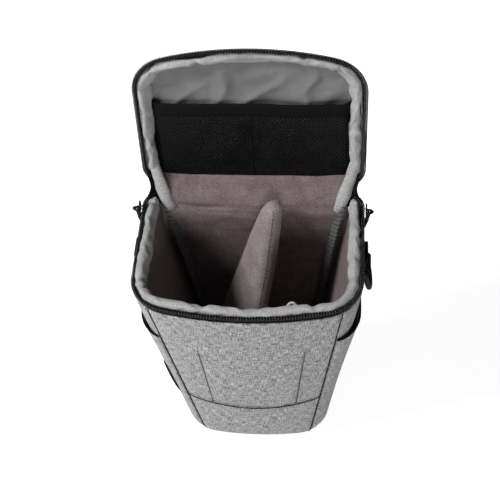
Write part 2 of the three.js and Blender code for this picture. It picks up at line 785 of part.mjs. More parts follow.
function addFittings() {
  const start = along(SIDE_SEAM, 1.5);
  const tagPlaces = stations(-along(start, TAG_WIDTH), -start);
  const depth = GAP + SLIP_CLOTH + GAP + 0.4;
  const tag = panel(around3, tagPlaces, () => [TAG_TOP - TAG_LENGTH, TAG_TOP], -depth - 0.8, -depth);
  addMesh(bag, "left_side_tag", tag, BLACK_WEB);

  // A strap on the back, sewn at both ends and standing off in between
  const near = BACK_Y + GAP;
  const rise = BELT_STAND * 1.2;
  const line = [
    [0, BELT_BOTTOM],
    [0, BELT_BOTTOM + BELT_SEWN],
    [BELT_STAND, BELT_BOTTOM + BELT_SEWN + rise],
    [BELT_STAND, BELT_TOP - BELT_SEWN - rise],
    [0, BELT_TOP - BELT_SEWN],
    [0, BELT_TOP],
  ];
  const inner = line.map(([y, z]) => [near + y, z]);
  const outer = line.map(([y, z]) => [near + y + BELT_THICK, z]).reverse();
  addMesh(bag, "belt_loop", alongX([...inner, ...outer], -BELT_WIDTH / 2, BELT_WIDTH / 2), BLACK_WEB);

  // A little loop of cord on the lining of the front wall
  const z = RIM_HEIGHT - CORD_DROP;
  const foot = around(frontPlace(CORD_X + CORD_WIDTH / 2, z), PAD_DEPTH, z).y + 2 * GAP;
  const half = (CORD_WIDTH - CORD_THICK) / 2;
  const bend = new THREE.CatmullRomCurve3([
    new THREE.Vector3(CORD_X - half, foot, z),
    new THREE.Vector3(CORD_X - half, foot + CORD_REACH * 0.7, z),
    new THREE.Vector3(CORD_X, foot + CORD_REACH, z),
    new THREE.Vector3(CORD_X + half, foot + CORD_REACH * 0.7, z),
    new THREE.Vector3(CORD_X + half, foot, z),
  ]);
  const round = new THREE.Shape().absarc(0, 0, CORD_THICK / 2, 0, 2 * Math.PI);
  const cord = new THREE.ExtrudeGeometry(round, { steps: 16, curveSegments: 5, extrudePath: bend });
  addMesh(bag, "inner_pull_loop", cord, CORD);
}

// Divider: a padded tongue on the back wall whose free edge slopes down to the front

function addDivider() {
  const wall = BACK_Y - BACK_PAD_DEPTH - GAP;
  const low = (DIVIDER_BOTTOM - RIM_HEIGHT + DIVIDER_TOP_DROP) / 2;
  const leaning = new THREE.Group();
  leaning.position.set(DIVIDER_X, wall, DIVIDER_BOTTOM - low);
  leaning.rotation.y = DIVIDER_TILT * DEGREE;
  bag.add(leaning);
  const stripTop = LIP_LOW - leaning.position.z - HOOK_WIDTH / 2;
  const strip = box(-HOOK_WIDTH / 2, HOOK_WIDTH / 2, -HOOK_THICK, 0, low + HOOK_WIDTH / 4, stripTop);
  addMesh(leaning, "divider_hook_strip", strip, VELOUR);

  const turned = new THREE.Group();
  const half = DIVIDER_THICK / 2;
  turned.position.y = -HOOK_THICK - GAP - half * Math.sin(DIVIDER_TURN * DEGREE);
  turned.rotation.z = DIVIDER_TURN * DEGREE;
  leaning.add(turned);
  const outline = new THREE.Shape();
  outline.moveTo(0, low);
  outline.lineTo(0, -low);
  outline.lineTo(-DIVIDER_TOP_REACH * 0.4, -low);
  outline.quadraticCurveTo(-DIVIDER_TOP_REACH * 1.4, -low - 3, -DIVIDER_TOP_REACH * 1.8, -low - 20);
  outline.lineTo(-DIVIDER_LOW_REACH, low + 24);
  outline.quadraticCurveTo(-DIVIDER_LOW_REACH - 4, low, -DIVIDER_LOW_REACH + 18, low);
  const points = outline.getPoints(6).map((v) => [v.x, v.y]);
  addMesh(turned, "divider_pad", alongX(points, -half, half), VELOUR);
}

// Lid

function addLid() {
  const rows = () => {
    const start = LID_HEIGHT - LID_ROUND;
    const rolled = [1 / 3, 2 / 3, 1].map((t) => start + LID_ROUND * t);
    return [SEAM_BELOW_RIM, TAPE_HEIGHT, start, ...rolled];
  };
  const seam = along(1, -GAP / 2);
  addLidMesh("lid_side_band", panel(onLid, stations(-seam, seam), rows, 0, CLOTH), SHELL);
  const topRing = (height) => ring(around3, RIM_HEIGHT + height, LID_ROUND + GAP);
  addLidMesh("lid_top_panel", slab([topRing(LID_HEIGHT - CLOTH), topRing(LID_HEIGHT)]), SHELL);

  const roof = LID_HEIGHT - LID_ROUND - GAP;
  addLidMesh("lid_lip", lip(above, RIM_HEIGHT - roof), LIP_VELOUR);
  addLidMesh("lid_zip_tape", tape(above), BLACK_WEB);
  addLidMesh("lid_zip_chain", chain(above), ZIP_NYLON);

  // The pad fills the tray inside the lip, and spreads out over the lip under the rolled edge
  const trayRing = (height) => ring(around3, RIM_HEIGHT + height, LIP_INNER + 2 * GAP);
  const rollRing = (height) => ring(onLid, height, CLOTH + GAP);
  const step = roof + GAP;
  const trayTop = LID_CEILING + LINING_THICK;
  const levels = [step, mix(step, LID_HEIGHT, 1 / 3), mix(step, LID_HEIGHT, 2 / 3), LID_HEIGHT];
  const pad = slab([trayRing(trayTop + GAP), trayRing(step), ...levels.map(rollRing)]);
  addLidMesh("lid_top_pad", pad, NYLON);
  addLidMesh("lid_lining", slab([trayRing(LID_CEILING), trayRing(trayTop)]), NYLON);

  // Padding along the hinge side
  const backPad = box(
    -HINGE_HALF,
    HINGE_HALF,
    BACK_Y - HINGE_PAD_DEPTH,
    BACK_Y - CLOTH - GAP,
    RIM_HEIGHT + HINGE_PAD_DROP,
    RIM_HEIGHT + LID_CEILING - GAP,
  );
  addLidMesh("lid_back_pad", backPad, VELOUR);

  addMeshPocket();
  addHandle();
}

// A shallow pocket of mesh: sewn down on three sides, and open along its bound far edge.
function addMeshPocket() {
  const ceiling = RIM_HEIGHT + LID_CEILING - GAP;
  const half = MOUTH_WIDTH / 2 - LIP_INNER - MESH_INSET;
  const near = BACK_Y - HINGE_PAD_DEPTH - CLOTH - MESH_NEAR;
  const sheetAt = (far, near, lift) => [
    [near, ceiling - lift(near)],
    [far, ceiling - lift(far)],
    [far, ceiling - lift(far) - MESH_THICK],
    [near, ceiling - lift(near) - MESH_THICK],
  ];
  const lift = (y) => mix(MESH_LIFT_NEAR, MESH_LIFT_FAR, (near - y) / MESH_FAR);
  const far = near - MESH_FAR;
  const split = far + MESH_BINDING;
  const face = alongX(sheetAt(split + GAP, near, lift), -half, half);
  const sides = [-half, half - MESH_THICK].map((x) =>
    alongX(
      [
        [near, ceiling],
        [split + GAP, ceiling],
        [split + GAP, ceiling - lift(split) - MESH_THICK],
        [near, ceiling - lift(near) - MESH_THICK],
      ],
      x,
      x + MESH_THICK,
    ),
  );
  const hem = box(-half, half, near - MESH_THICK, near, ceiling - MESH_LIFT_NEAR - MESH_THICK, ceiling);
  addLidMesh("lid_mesh_pocket", join(face, ...sides, hem), MESH_CLOTH);
  const binding = sheetAt(far, split, (y) => lift(y) - 0.2);
  binding[2][1] -= 0.6;
  binding[3][1] -= 0.6;
  addLidMesh("lid_mesh_binding", alongX(binding, -half, half), BLACK_WEB);
}

// A webbing handle across the top of the lid
function addHandle() {
  const z = RIM_HEIGHT + LID_HEIGHT + GAP;
  const y = BACK_Y - MOUTH_DEPTH / 2;
  const half = HANDLE_SPAN / 2;
  const line = [
    [-half - HANDLE_SEWN, 0],
    [-half, 0],
    [-half * 0.6, HANDLE_RISE * 0.8],
    [0, HANDLE_RISE],
    [half * 0.6, HANDLE_RISE * 0.8],
    [half, 0],
    [half + HANDLE_SEWN, 0],
  ];
  const under = line.map(([x, h]) => new THREE.Vector2(x, h));
  const over = line.map(([x, h]) => new THREE.Vector2(x, h + HANDLE_THICK)).reverse();
  const shape = new THREE.Shape([...under, ...over]);
  const strap = new THREE.ExtrudeGeometry(shape, { depth: HANDLE_WIDTH, bevelEnabled: false });
  strap.rotateX(Math.PI / 2).translate(0, y + HANDLE_WIDTH / 2, z);
  addLidMesh("carry_handle", strap, BLACK_WEB);
}

// Cloth across the hinge, bent as the lid stands open. A radius is measured from the hinge line.
function bent(near, far, lowEnd, lidEnd) {
  const turn = LID_OPEN * DEGREE;
  const steps = 6;
  const onBody = (r, z) => [BACK_Y - r, RIM_HEIGHT + z];
  const onOpenLid = (r, h) => [
    BACK_Y - r * Math.cos(turn) + h * Math.sin(turn),
    RIM_HEIGHT + r * Math.sin(turn) + h * Math.cos(turn),
  ];
  const arc = (r) =>
    Array.from({ length: steps + 1 }, (_, i) => {
      const a = (turn * i) / steps;
      return [BACK_Y - r * Math.cos(a), RIM_HEIGHT + r * Math.sin(a)];
    });
  const inner = [onBody(far, lowEnd), ...arc(far), onOpenLid(far, lidEnd)];
  const bend = near > 0 ? arc(near) : [onBody(0, 0)];
  const outer = [onBody(near, lowEnd), ...bend, onOpenLid(near, lidEnd)];
  return [...inner, ...outer.reverse()];
}

function addHinge() {
  const seam = SEAM_BELOW_RIM - GAP;
  addMesh(bag, "hinge_outer", alongX(bent(0, CLOTH, -seam, seam), -HINGE_HALF, HINGE_HALF), SHELL);
  const near = HINGE_PAD_DEPTH + GAP;
  const lining = bent(near, near + CLOTH, -LINING_LOW, LID_CEILING - GAP);
  addMesh(bag, "hinge_lining", alongX(lining, -HINGE_HALF, HINGE_HALF), VELOUR);
}

addSkin();
addPadding();
addRim();
addSliders();
addRings();
addFittings();
addDivider();
addLid();
addHinge();

export default bag;
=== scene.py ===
# Top-loading camera bag: its cloth, padding, zip and trim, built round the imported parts. Metres, +Z up.
import bisect
import json
import math

import bmesh
import bpy
from mathutils import Matrix, Vector, noise


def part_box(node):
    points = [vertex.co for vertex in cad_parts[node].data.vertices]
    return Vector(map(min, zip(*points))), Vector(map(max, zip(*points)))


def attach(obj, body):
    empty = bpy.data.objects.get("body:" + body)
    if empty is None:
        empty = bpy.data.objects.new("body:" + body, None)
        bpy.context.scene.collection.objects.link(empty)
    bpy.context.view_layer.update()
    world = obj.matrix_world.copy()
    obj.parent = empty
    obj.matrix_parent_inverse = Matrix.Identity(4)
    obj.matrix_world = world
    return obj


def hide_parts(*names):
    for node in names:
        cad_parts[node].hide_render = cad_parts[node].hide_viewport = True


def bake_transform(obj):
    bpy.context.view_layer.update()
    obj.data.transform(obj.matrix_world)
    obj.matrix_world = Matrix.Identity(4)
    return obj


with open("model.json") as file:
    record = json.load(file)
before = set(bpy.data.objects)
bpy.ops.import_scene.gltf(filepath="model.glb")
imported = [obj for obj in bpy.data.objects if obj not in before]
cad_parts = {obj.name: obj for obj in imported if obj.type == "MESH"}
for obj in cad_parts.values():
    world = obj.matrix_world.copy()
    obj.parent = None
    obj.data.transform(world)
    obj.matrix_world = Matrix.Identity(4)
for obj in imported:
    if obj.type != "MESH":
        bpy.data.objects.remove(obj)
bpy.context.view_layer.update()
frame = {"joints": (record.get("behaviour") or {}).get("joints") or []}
JOINTS = {joint["name"]: joint for joint in frame["joints"]}

# Shape of the bag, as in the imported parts. Only the lid's back corners are a little rounder here.
HINGE = Vector(JOINTS["lid_hinge"]["pos_m"])
BACK_Y = HINGE.y
RIM_Z = HINGE.z
FRONT_BOW = 0.007
BASE_BOW = 0.002
FRONT_CORNER = 0.034
BASE_CORNER = 0.024
BACK_CORNER = 0.018
LID_BACK_CORNER = 0.020
BASE_ROUND = 0.014
GAP = 0.0003
MM = 0.001
MOUTH_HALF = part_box("body_zip_chain")[1].x + GAP
MOUTH_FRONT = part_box("body_zip_chain")[0].y - GAP + FRONT_BOW
BASE_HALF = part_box("bottom_panel")[1].x + BASE_ROUND + GAP
BASE_FRONT = -BACK_Y

# Places round the outline, from 0 in the middle of the front to 1 in the middle of the back
FRONT_END = 0.24
CORNER_END = 0.42
SIDE_END = 0.7
BACK_START = 0.86
SIDE_SEAM = (FRONT_END + CORNER_END) / 2
BACK_SEAM = (SIDE_END + BACK_START) / 2
# Where the front meets the sides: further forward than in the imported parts, as in the photo
FRONT_SEAM = 0.285
SIDES = (("left", -1), ("right", 1))

# Heights and depths of the layers
SEAM_DROP = 0.0076
SEAM_Z = RIM_Z - SEAM_DROP
PAD_DEPTH = 0.009
BACK_PAD_DEPTH = 0.012
FLOOR_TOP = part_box("floor_pad")[1].z
WALL_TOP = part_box("front_wall_pad")[1].z
CLOTH = 0.0014
LID_HEIGHT = 0.026
LID_ROUND = 0.008
LID_CEILING = 0.012
LID_SLANT = 0.75
SLANT_FROM = 0.003
LID_CROWN = 0.002
LIP_INNER = 0.013
HINGE_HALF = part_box("hinge_lining")[1].x
OPEN_ANGLE = math.radians(95)
OPEN = Matrix.Translation(HINGE) @ Matrix.Rotation(-OPEN_ANGLE, 4, "X") @ Matrix.Translation(-HINGE)
OPEN_TURN = OPEN.to_3x3()


def mix(a, b, t):
    return a + (b - a) * t


def smooth(t):
    t = min(max(t, 0.0), 1.0)
    return t * t * (3 - 2 * t)


def hump(t, sharp=1.0):
    """A bulge that is 0 at both ends of 0..1 and 1 in the middle."""
    return max(math.sin(math.pi * min(max(t, 0.0), 1.0)), 0.0) ** sharp


def waver(x, y, size, seed):
    """Soft unevenness from -1 to 1, with lumps of a size in metres."""
    return noise.noise(Vector((x / size + 7.3 * seed, y / size - 3.1 * seed, 1.7 * seed)))


def shares(count):
    """Even steps from 0 to 1."""
    return [i / count for i in range(count + 1)]


def all_round(count):
    """Places at even steps all round the outline, from the middle of the back to itself."""
    return [2 * t - 1 for t in shares(count)]


def lengths(line):
    """Distances along a line of points, from its start."""
    sums = [0.0]
    for a, b in zip(line, line[1:]):
        sums.append(sums[-1] + (b - a).length)
    return sums


# The bag's skin


def section(z):
    """Half width, front, corner radius and bow of the outline at a height."""
    t = min(z / RIM_Z, 1)
    half = mix(BASE_HALF, MOUTH_HALF, t)
    corner = mix(BASE_CORNER, FRONT_CORNER, t)
    bow = 2 * math.atan2(mix(BASE_BOW, FRONT_BOW, t), half - corner)
    return half, mix(BASE_FRONT, MOUTH_FRONT, t), corner, bow


def slant(place, height):
    """How far the front of the lid slopes back from the zip at a height above the rim."""
    share = (SIDE_END - abs(place)) / (SIDE_END - FRONT_END)
    return LID_SLANT * max(height - SLANT_FROM, 0.0) * smooth(share)


def around(place, inset, z):
    """A point of the outline at height z, set in by a depth. Places past 1 go on round the back."""
    place = (place + 1) % 2 - 1
    depth = inset + slant(place, z - RIM_Z)
    half, front, radius, bow = section(z)
    flat = half - radius
    a = abs(place)
    corner = radius - depth
    bend = LID_BACK_CORNER if z > RIM_Z else BACK_CORNER
    back = max(bend - depth, 0.0005)
    centre = flat / math.sin(bow)
    if a <= FRONT_END:
        turn = bow * a / FRONT_END
        x = (centre + corner) * math.sin(turn)
        y = front + radius + centre * math.cos(bow) - (centre + corner) * math.cos(turn)
    elif a <= CORNER_END:
        turn = mix(bow, math.pi / 2, (a - FRONT_END) / (CORNER_END - FRONT_END))
        x = flat + corner * math.sin(turn)
        y = front + radius - corner * math.cos(turn)
    elif a <= SIDE_END:
        x = half - depth
        y = mix(front + radius, BACK_Y - bend, (a - CORNER_END) / (SIDE_END - CORNER_END))
    elif a <= BACK_START:
        turn = (a - SIDE_END) / (BACK_START - SIDE_END) * math.pi / 2
        x = half - depth - back * (1 - math.cos(turn))
        y = BACK_Y - depth - back * (1 - math.sin(turn))
    else:
        x = (half - depth - back) * (1 - a) / (1 - BACK_START)
        y = BACK_Y - depth
    return Vector((math.copysign(x, place), y, z))


def on_skin(place, height, depth):
    """A point of the body's skin, which rolls under to the flat bottom below BASE_ROUND."""
    if height >= BASE_ROUND:
        return around(place, depth, height)
    turn = height / BASE_ROUND * math.pi / 2
    radius = BASE_ROUND - depth
    return around(place, BASE_ROUND - radius * math.sin(turn), BASE_ROUND - radius * math.cos(turn))


def on_lid(place, height, depth):
    """A point of the closed lid's skin, which rolls over to the flat top."""
    start = LID_HEIGHT - LID_ROUND
    if height <= start:
        return around(place, depth, RIM_Z + height)
    turn = (height - start) / LID_ROUND * math.pi / 2
    radius = LID_ROUND - depth
    return around(place, LID_ROUND - radius * math.cos(turn), RIM_Z + start + radius * math.sin(turn))


def front_place(x, z):
    """The place on the front at a distance from the middle line."""
    half, _, corner, bow = section(z)
    return FRONT_END * math.asin(x / ((half - corner) / math.sin(bow) + corner)) / bow


RIM_STEPS = 2000
RIM_LENGTHS = lengths([around(p, 0, RIM_Z) for p in all_round(RIM_STEPS)])
RIM_LENGTH = RIM_LENGTHS[-1]


def length_at(place):
    """How far round the rim a place is, from the middle of the back."""
    turns, rest = divmod((place + 1) / 2, 1)
    index = rest * RIM_STEPS
    i = min(int(index), RIM_STEPS - 1)
    return turns * RIM_LENGTH + mix(RIM_LENGTHS[i], RIM_LENGTHS[i + 1], index - i)


def place_at(length):
    """The place that is a length round the rim from the middle of the back."""
    turns, rest = divmod(length, RIM_LENGTH)
    i = min(bisect.bisect_right(RIM_LENGTHS, rest) - 1, RIM_STEPS - 1)
    part = (rest - RIM_LENGTHS[i]) / (RIM_LENGTHS[i + 1] - RIM_LENGTHS[i])
    return 2 * turns - 1 + 2 * (i + part) / RIM_STEPS


def even_places(start, end, z, step):
    """Places at even steps of true length along the outline at a height."""
    fine = [mix(start, end, t) for t in shares(6000)]
    sums = lengths([around(p, 0, z) for p in fine])
    count = round(sums[-1] / step)
    last = len(fine) - 1
    return [fine[min(bisect.bisect_left(sums, sums[-1] * i / count), last)] for i in range(count + 1)]


def beside(place, distance):
    """The place a distance further round the rim."""
    return place_at(length_at(place) + distance)


def between(start, end):
    """How far it is round the rim from one place to another."""
    return length_at(end) - length_at(start)


# Cloth meshes


CLOTH_STEP = 0.005
EDGE_STOPS = (0.0, 0.0003, 0.0008, 0.0014, 0.0022)


def stops(length, step, fine=True):
    """Distances along a cloth, closer together at its two sewn edges."""
    edge = EDGE_STOPS if fine else (0.0,)
    inner = length - 2 * edge[-1]
    count = max(round(inner / step), 1)
    middle = [edge[-1] + inner * i / count for i in range(1, count)]
    return list(edge) + middle + [length - e for e in reversed(edge)]


def roll(distance, depth=0.0016, width=0.0022):
    """How far a cloth turns in at a distance from its seam."""
    t = max(1 - distance / width, 0.0)
    return depth * (1 - math.sqrt(max(1 - t * t, 0.0)))


def cloth_grid(us, vs, point, flip=False, weld=False, flat=None):
    """Faces over two lists of stops. The UV map holds real distances along the cloth."""
    bm = bmesh.new()
    columns = len(us)
    bmesh.ops.create_grid(bm, x_segments=columns - 1, y_segments=len(vs) - 1, size=0.5)
    bm.verts.ensure_lookup_table()
    rows = [[point(u, v) for u in us] for v in vs]
    for k, vert in enumerate(bm.verts):
        vert.co = rows[k // columns][k % columns]
    bm.verts.index_update()
    middle = columns // 2
    across = []
    for row in rows:
        sums = lengths(row)
        across.append([s - sums[middle] for s in sums])
    up = [[0.0] * columns]
    for below, above in zip(rows, rows[1:]):
        up.append([h + (b - a).length for h, a, b in zip(up[-1], below, above)])
    layer = bm.loops.layers.uv.new("cloth")
    for face in bm.faces:
        for loop in face.loops:
            j, i = divmod(loop.vert.index, columns)
            loop[layer].uv = flat(rows[j][i]) if flat else (across[j][i], up[j][i])
    if flip:
        bmesh.ops.reverse_faces(bm, faces=bm.faces)
    if weld:
        bmesh.ops.remove_doubles(bm, verts=bm.verts, dist=1e-6)
    return bm


def close_ends(bm):
    """Caps the open ends of a piece and turns its faces outward."""
    bmesh.ops.holes_fill(bm, edges=[edge for edge in bm.edges if edge.is_boundary])
    bmesh.ops.recalc_face_normals(bm, faces=bm.faces)
    return bm


def border(columns, rows):
    """Numbers of the points round the edge of a grid."""
    inner_columns = range(1, columns - 1)
    inner_rows = range(1, rows - 1)
    inside = {j * columns + i for j in inner_rows for i in inner_columns}
    return [k for k in range(columns * rows) if k not in inside]


def bevel(bm, edges, width):
    bmesh.ops.bevel(bm, geom=edges, offset=width, segments=2, profile=0.5, affect="EDGES", material=-1)


def soft_box(size, middle, edge):
    """A box with rounded edges."""
    bm = bmesh.new()
    bmesh.ops.create_cube(bm, size=1.0)
    bmesh.ops.scale(bm, vec=size, verts=bm.verts)
    bmesh.ops.translate(bm, vec=middle, verts=bm.verts)
    bevel(bm, bm.edges[:], edge)
    return bm


def settle(obj, slot, body, nodes, finish=None):
    """Gives a piece its finish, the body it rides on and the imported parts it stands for."""
    obj.data.materials.append(finish or MATERIALS[slot])
    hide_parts(*nodes)
    if body:
        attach(obj, body)
    return obj


def as_object(name, bm):
    mesh = bpy.data.meshes.new(name)
    bm.to_mesh(mesh)
    bm.free()
    mesh.shade_smooth()
    obj = bpy.data.objects.new(name, mesh)
    bpy.context.scene.collection.objects.link(obj)
    return obj


def make(name, bm, slot, body="body", nodes=(), finish=None):
    return settle(as_object(name, bm), slot, body, nodes, finish)


def opened(bm):
    """Carries a piece shaped on the closed lid to where the open lid stands."""
    bmesh.ops.transform(bm, matrix=OPEN, verts=bm.verts)
    return bm


def thicken(obj, thickness, offset=-1.0):
    solid = obj.modifiers.new("thickness", "SOLIDIFY")
    solid.thickness = thickness
    solid.offset = offset
    return obj


def soften(obj):
    subdivision = obj.modifiers.new("soft", "SUBSURF")
    subdivision.levels = 1
    subdivision.render_levels = 1
    return obj


def round_edges(obj, width):
    rounded = obj.modifiers.new("rounded", "BEVEL")
    rounded.width = width
    rounded.segments = 2
    rounded.limit_method = "ANGLE"
    rounded.angle_limit = math.radians(40)
    return obj


def swell(obj, pins, pressure, grow, cap):
    """Blows a sewn cover up with cloth simulation. Pinned points stay, and none moves past the cap."""
    frames = 20
    scene = bpy.context.scene
    sewn = obj.vertex_groups.new(name="sewn")
    sewn.add(pins, 1.0, "REPLACE")
    cloth = obj.modifiers.new("swell", "CLOTH")
    settings = cloth.settings
    settings.quality = 6
    settings.mass = 0.15
    settings.tension_stiffness = 20
    settings.compression_stiffness = 20
    settings.shear_stiffness = 8
    settings.bending_stiffness = 0.2
    settings.vertex_group_mass = "sewn"
    settings.use_pressure = True
    settings.uniform_pressure_force = pressure
    settings.shrink_min = -grow
    settings.effector_weights.gravity = 0
    cloth.point_cache.frame_start = 1
    cloth.point_cache.frame_end = frames
    for number in range(1, frames + 1):
        scene.frame_set(number)
    shaped = obj.evaluated_get(bpy.context.evaluated_depsgraph_get()).data
    swollen = [vert.co.copy() for vert in shaped.vertices]
    obj.modifiers.remove(cloth)
    obj.vertex_groups.remove(sewn)
    scene.frame_set(1)
    for vert, end in zip(obj.data.vertices, swollen):
        move = end - vert.co
        vert.co += move * min(cap / max(move.length, 1e-9), 1.0)
    return obj


# Tubes, straps and stitches


def smooth_line(points, step):
    """Points at even steps along a smooth line through the given ones."""
    line = []
    padded = [2 * points[0] - points[1], *points, 2 * points[-1] - points[-2]]
    for a, b, c, d in zip(padded, padded[1:], padded[2:], padded[3:]):
        count = max(math.ceil((c - b).length / step), 1)
        for i in range(count):
            t = i / count
            square = 2 * a - 5 * b + 4 * c - d
            cube = 3 * b - a - 3 * c + d
            line.append(0.5 * (2 * b + (c - a) * t + square * t**2 + cube * t**3))
    return line + [points[-1]]


def tube(name, lines, radius, slot, body="body", nodes=(), closed=False, roundness=1, finish=None):
    """Round wire, cord or thread along one or more lines."""
    curve = bpy.data.curves.new(name, "CURVE")
    curve.dimensions = "3D"
    curve.bevel_depth = radius
    curve.bevel_resolution = roundness
    curve.use_fill_caps = not closed
    for line in lines:
        spline = curve.splines.new("POLY")
        spline.points.add(len(line) - 1)
        for point, co in zip(spline.points, line):
            point.co = (*co, 1.0)
        spline.use_cyclic_u = closed
        spline.use_smooth = True
    obj = bpy.data.objects.new(name, curve)
    bpy.context.scene.collection.objects.link(obj)
    return settle(obj, slot, body, nodes, finish)


def stitch_line(start, end, out, pitch=0.003, length=0.0021):
    """Short threads along a straight seam, each arching out of the cloth."""
    count = max(int((end - start).length / pitch), 1)
    along = (end - start).normalized()
    lift = out * 0.00035
    lines = []
    for i in range(count):
        a = mix(start, end, (i + 0.5) / count) - along * length / 2
        b = a + along * length
        lines.append([a - lift, mix(a, b, 0.25) + lift, mix(a, b, 0.75) + lift, b - lift])
    return lines


def stitch_box(corners, out, crossed=True):
    """Stitches round a box of four corners, and across it from corner to corner."""
    sides = [(0, 1), (1, 2), (2, 3), (3, 0)]
    if crossed:
        sides += [(0, 2), (1, 3)]
    lines = []
    for a, b in sides:
        lines += stitch_line(corners[a], corners[b], out)
    return lines


def strap(name, line, across, width, thickness, body, node):
    """Webbing along a line of points, with its width along one direction."""
    us = lengths(line)
    at = dict(zip(us, line))
    vs = stops(width, 0.004, fine=False)
    bm = cloth_grid(us, vs, lambda u, v: at[u] + across * (v - width / 2))
    obj = make(name, bm, "black_webbing", body, [node])
    thicken(obj, thickness, 0.0)
    return round_edges(obj, thickness * 0.3)


# Materials


def shader(name, settings):
    """A new material, its node tree, and its shader with some inputs set."""
    material = bpy.data.materials.new(name)
    material.use_nodes = True
    tree = material.node_tree
    shade = tree.nodes["Principled BSDF"]
    for key, value in settings.items():
        shade.inputs[key].default_value = value
    return material, tree, shade


def add(tree, kind, inputs=None, **settings):
    """A node with its settings, and its inputs as values or as other nodes' outputs."""
    node = tree.nodes.new("ShaderNode" + kind)
    for key, value in settings.items():
        setattr(node, key, value)
    for key, value in (inputs or {}).items():
        socket = node.inputs[key]
        if isinstance(value, bpy.types.NodeSocket):
            tree.links.new(value, socket)
        else:
            socket.default_value = value
    return node


def cloth_uv(tree):
    return add(tree, "UVMap", uv_map="cloth").outputs["UV"]


def grain(tree, coords, size, detail=2.0):
    """Noise with a grain of a size in metres along each axis."""
    scale = tuple(1 / s for s in size)
    spread = add(tree, "Mapping", {"Vector": coords, "Scale": scale}).outputs["Vector"]
    return add(tree, "TexNoise", {"Vector": spread, "Scale": 1.0, "Detail": detail}).outputs["Fac"]


def combine(tree, operation, a, b):
    return add(tree, "Math", {0: a, 1: b}, operation=operation).outputs[0]


def weigh(tree, a, b, share):
    """A share of one value and the rest of another."""
    rest = combine(tree, "MULTIPLY", b, 1 - share)
    return combine(tree, "ADD", combine(tree, "MULTIPLY", a, share), rest)


def paint(tree, shade, value, *colours):
    """Colours a surface by a value. Colours are (position, (r, g, b)) in linear light."""
    node = add(tree, "ValToRGB", {"Fac": value})
    elements = node.color_ramp.elements
    while len(elements) < len(colours):
        elements.new(0.5)
    for element, (position, colour) in zip(elements, colours):
        element.position = position
        element.color = (*colour, 1)
    tree.links.new(node.outputs["Color"], shade.inputs["Base Color"])


def grey(srgb, tint=(1, 1, 1)):
    """Linear colour of a grey given from 0 to 255, with a tint."""
    c = srgb / 255
    linear = c / 12.92 if c <= 0.04045 else ((c + 0.055) / 1.055) ** 2.4
    return tuple(linear * t for t in tint)


def bump(tree, shade, height, distance, strength):
    node = add(tree, "Bump", {"Height": height, "Distance": distance, "Strength": strength})
    tree.links.new(node.outputs["Normal"], shade.inputs["Normal"])


def heather_cloth():
    """Grey yarns streaked along both ways of the weave, darkest where two dark ones cross."""
    settings = {"Roughness": 0.92, "Specular IOR Level": 0.2, "Sheen Weight": 0.15}
    material, tree, shade = shader("heather_cloth", settings)
    uv = cloth_uv(tree)
    weft = grain(tree, uv, (0.0065, 0.0009, 1), 1.0)
    warp = grain(tree, uv, (0.00055, 0.0076, 1), 1.0)
    even = combine(tree, "MULTIPLY", combine(tree, "ADD", weft, warp), 0.25)
    crossing = combine(tree, "MULTIPLY", combine(tree, "MINIMUM", weft, warp), 0.5)
    yarns = combine(tree, "ADD", even, crossing)
    paint(tree, shade, yarns, (0.33, grey(96)), (0.46, grey(152)), (0.58, grey(204)))
    bump(tree, shade, yarns, 0.0004, 0.5)
    return material


def velour(name, dark, light, tint):
    """A brushed pile: fine grain, and broad patches where the nap lies another way."""
    settings = {"Roughness": 1.0, "Specular IOR Level": 0.1, "Sheen Weight": 0.35, "Sheen Roughness": 0.4}
    settings["Sheen Tint"] = (*(0.8 * t for t in tint), 1)
    material, tree, shade = shader(name, settings)
    coords = add(tree, "TexCoord").outputs["Object"]
    pile = grain(tree, coords, (0.0009, 0.0009, 0.0009), 3.0)
    patches = grain(tree, coords, (0.012, 0.012, 0.012))
    tone = weigh(tree, pile, patches, 0.75)
    paint(tree, shade, tone, (0.3, grey(dark, tint)), (0.7, grey(light, tint)))
    bump(tree, shade, pile, 0.0006, 0.6)
    return material


def nylon(name, dark, light):
    """A thin weave, a little uneven."""
    material, tree, shade = shader(name, {"Roughness": 0.6, "Sheen Weight": 0.1})
    uv = cloth_uv(tree)
    weave = grain(tree, uv, (0.0007, 0.0007, 1))
    broad = grain(tree, uv, (0.015, 0.015, 1))
    tone = weigh(tree, weave, broad, 0.6)
    paint(tree, shade, tone, (0.3, grey(dark)), (0.7, grey(light)))
    bump(tree, shade, weave, 0.0003, 0.4)
    return material


def webbing():
    """Ribbed black tape."""
    material, tree, shade = shader("black_webbing", {"Roughness": 0.75, "Specular IOR Level": 0.15})
    uv = cloth_uv(tree)
    ribs = add(tree, "TexWave", {"Vector": uv, "Scale": 180.0, "Distortion": 0.6}, bands_direction="X")
    fibre = grain(tree, uv, (0.0006, 0.0006, 1))
    paint(tree, shade, fibre, (0.3, grey(4)), (0.7, grey(14)))
    bump(tree, shade, ribs.outputs["Fac"], 0.0003, 0.4)
    return material


def plain(name, srgb, roughness, tint=(1, 1, 1), metallic=0.0, specular=0.5):
    """A plain finish with a fine unevenness."""
    settings = {"Roughness": roughness, "Metallic": metallic, "Specular IOR Level": specular}
    material, tree, shade = shader(name, settings)
    coords = add(tree, "TexCoord").outputs["Object"]
    fine = grain(tree, coords, (0.001, 0.001, 0.001))
    paint(tree, shade, fine, (0.3, grey(srgb * 0.9, tint)), (0.7, grey(srgb * 1.1, tint)))
    bump(tree, shade, fine, 0.0001, 0.3)
    return material


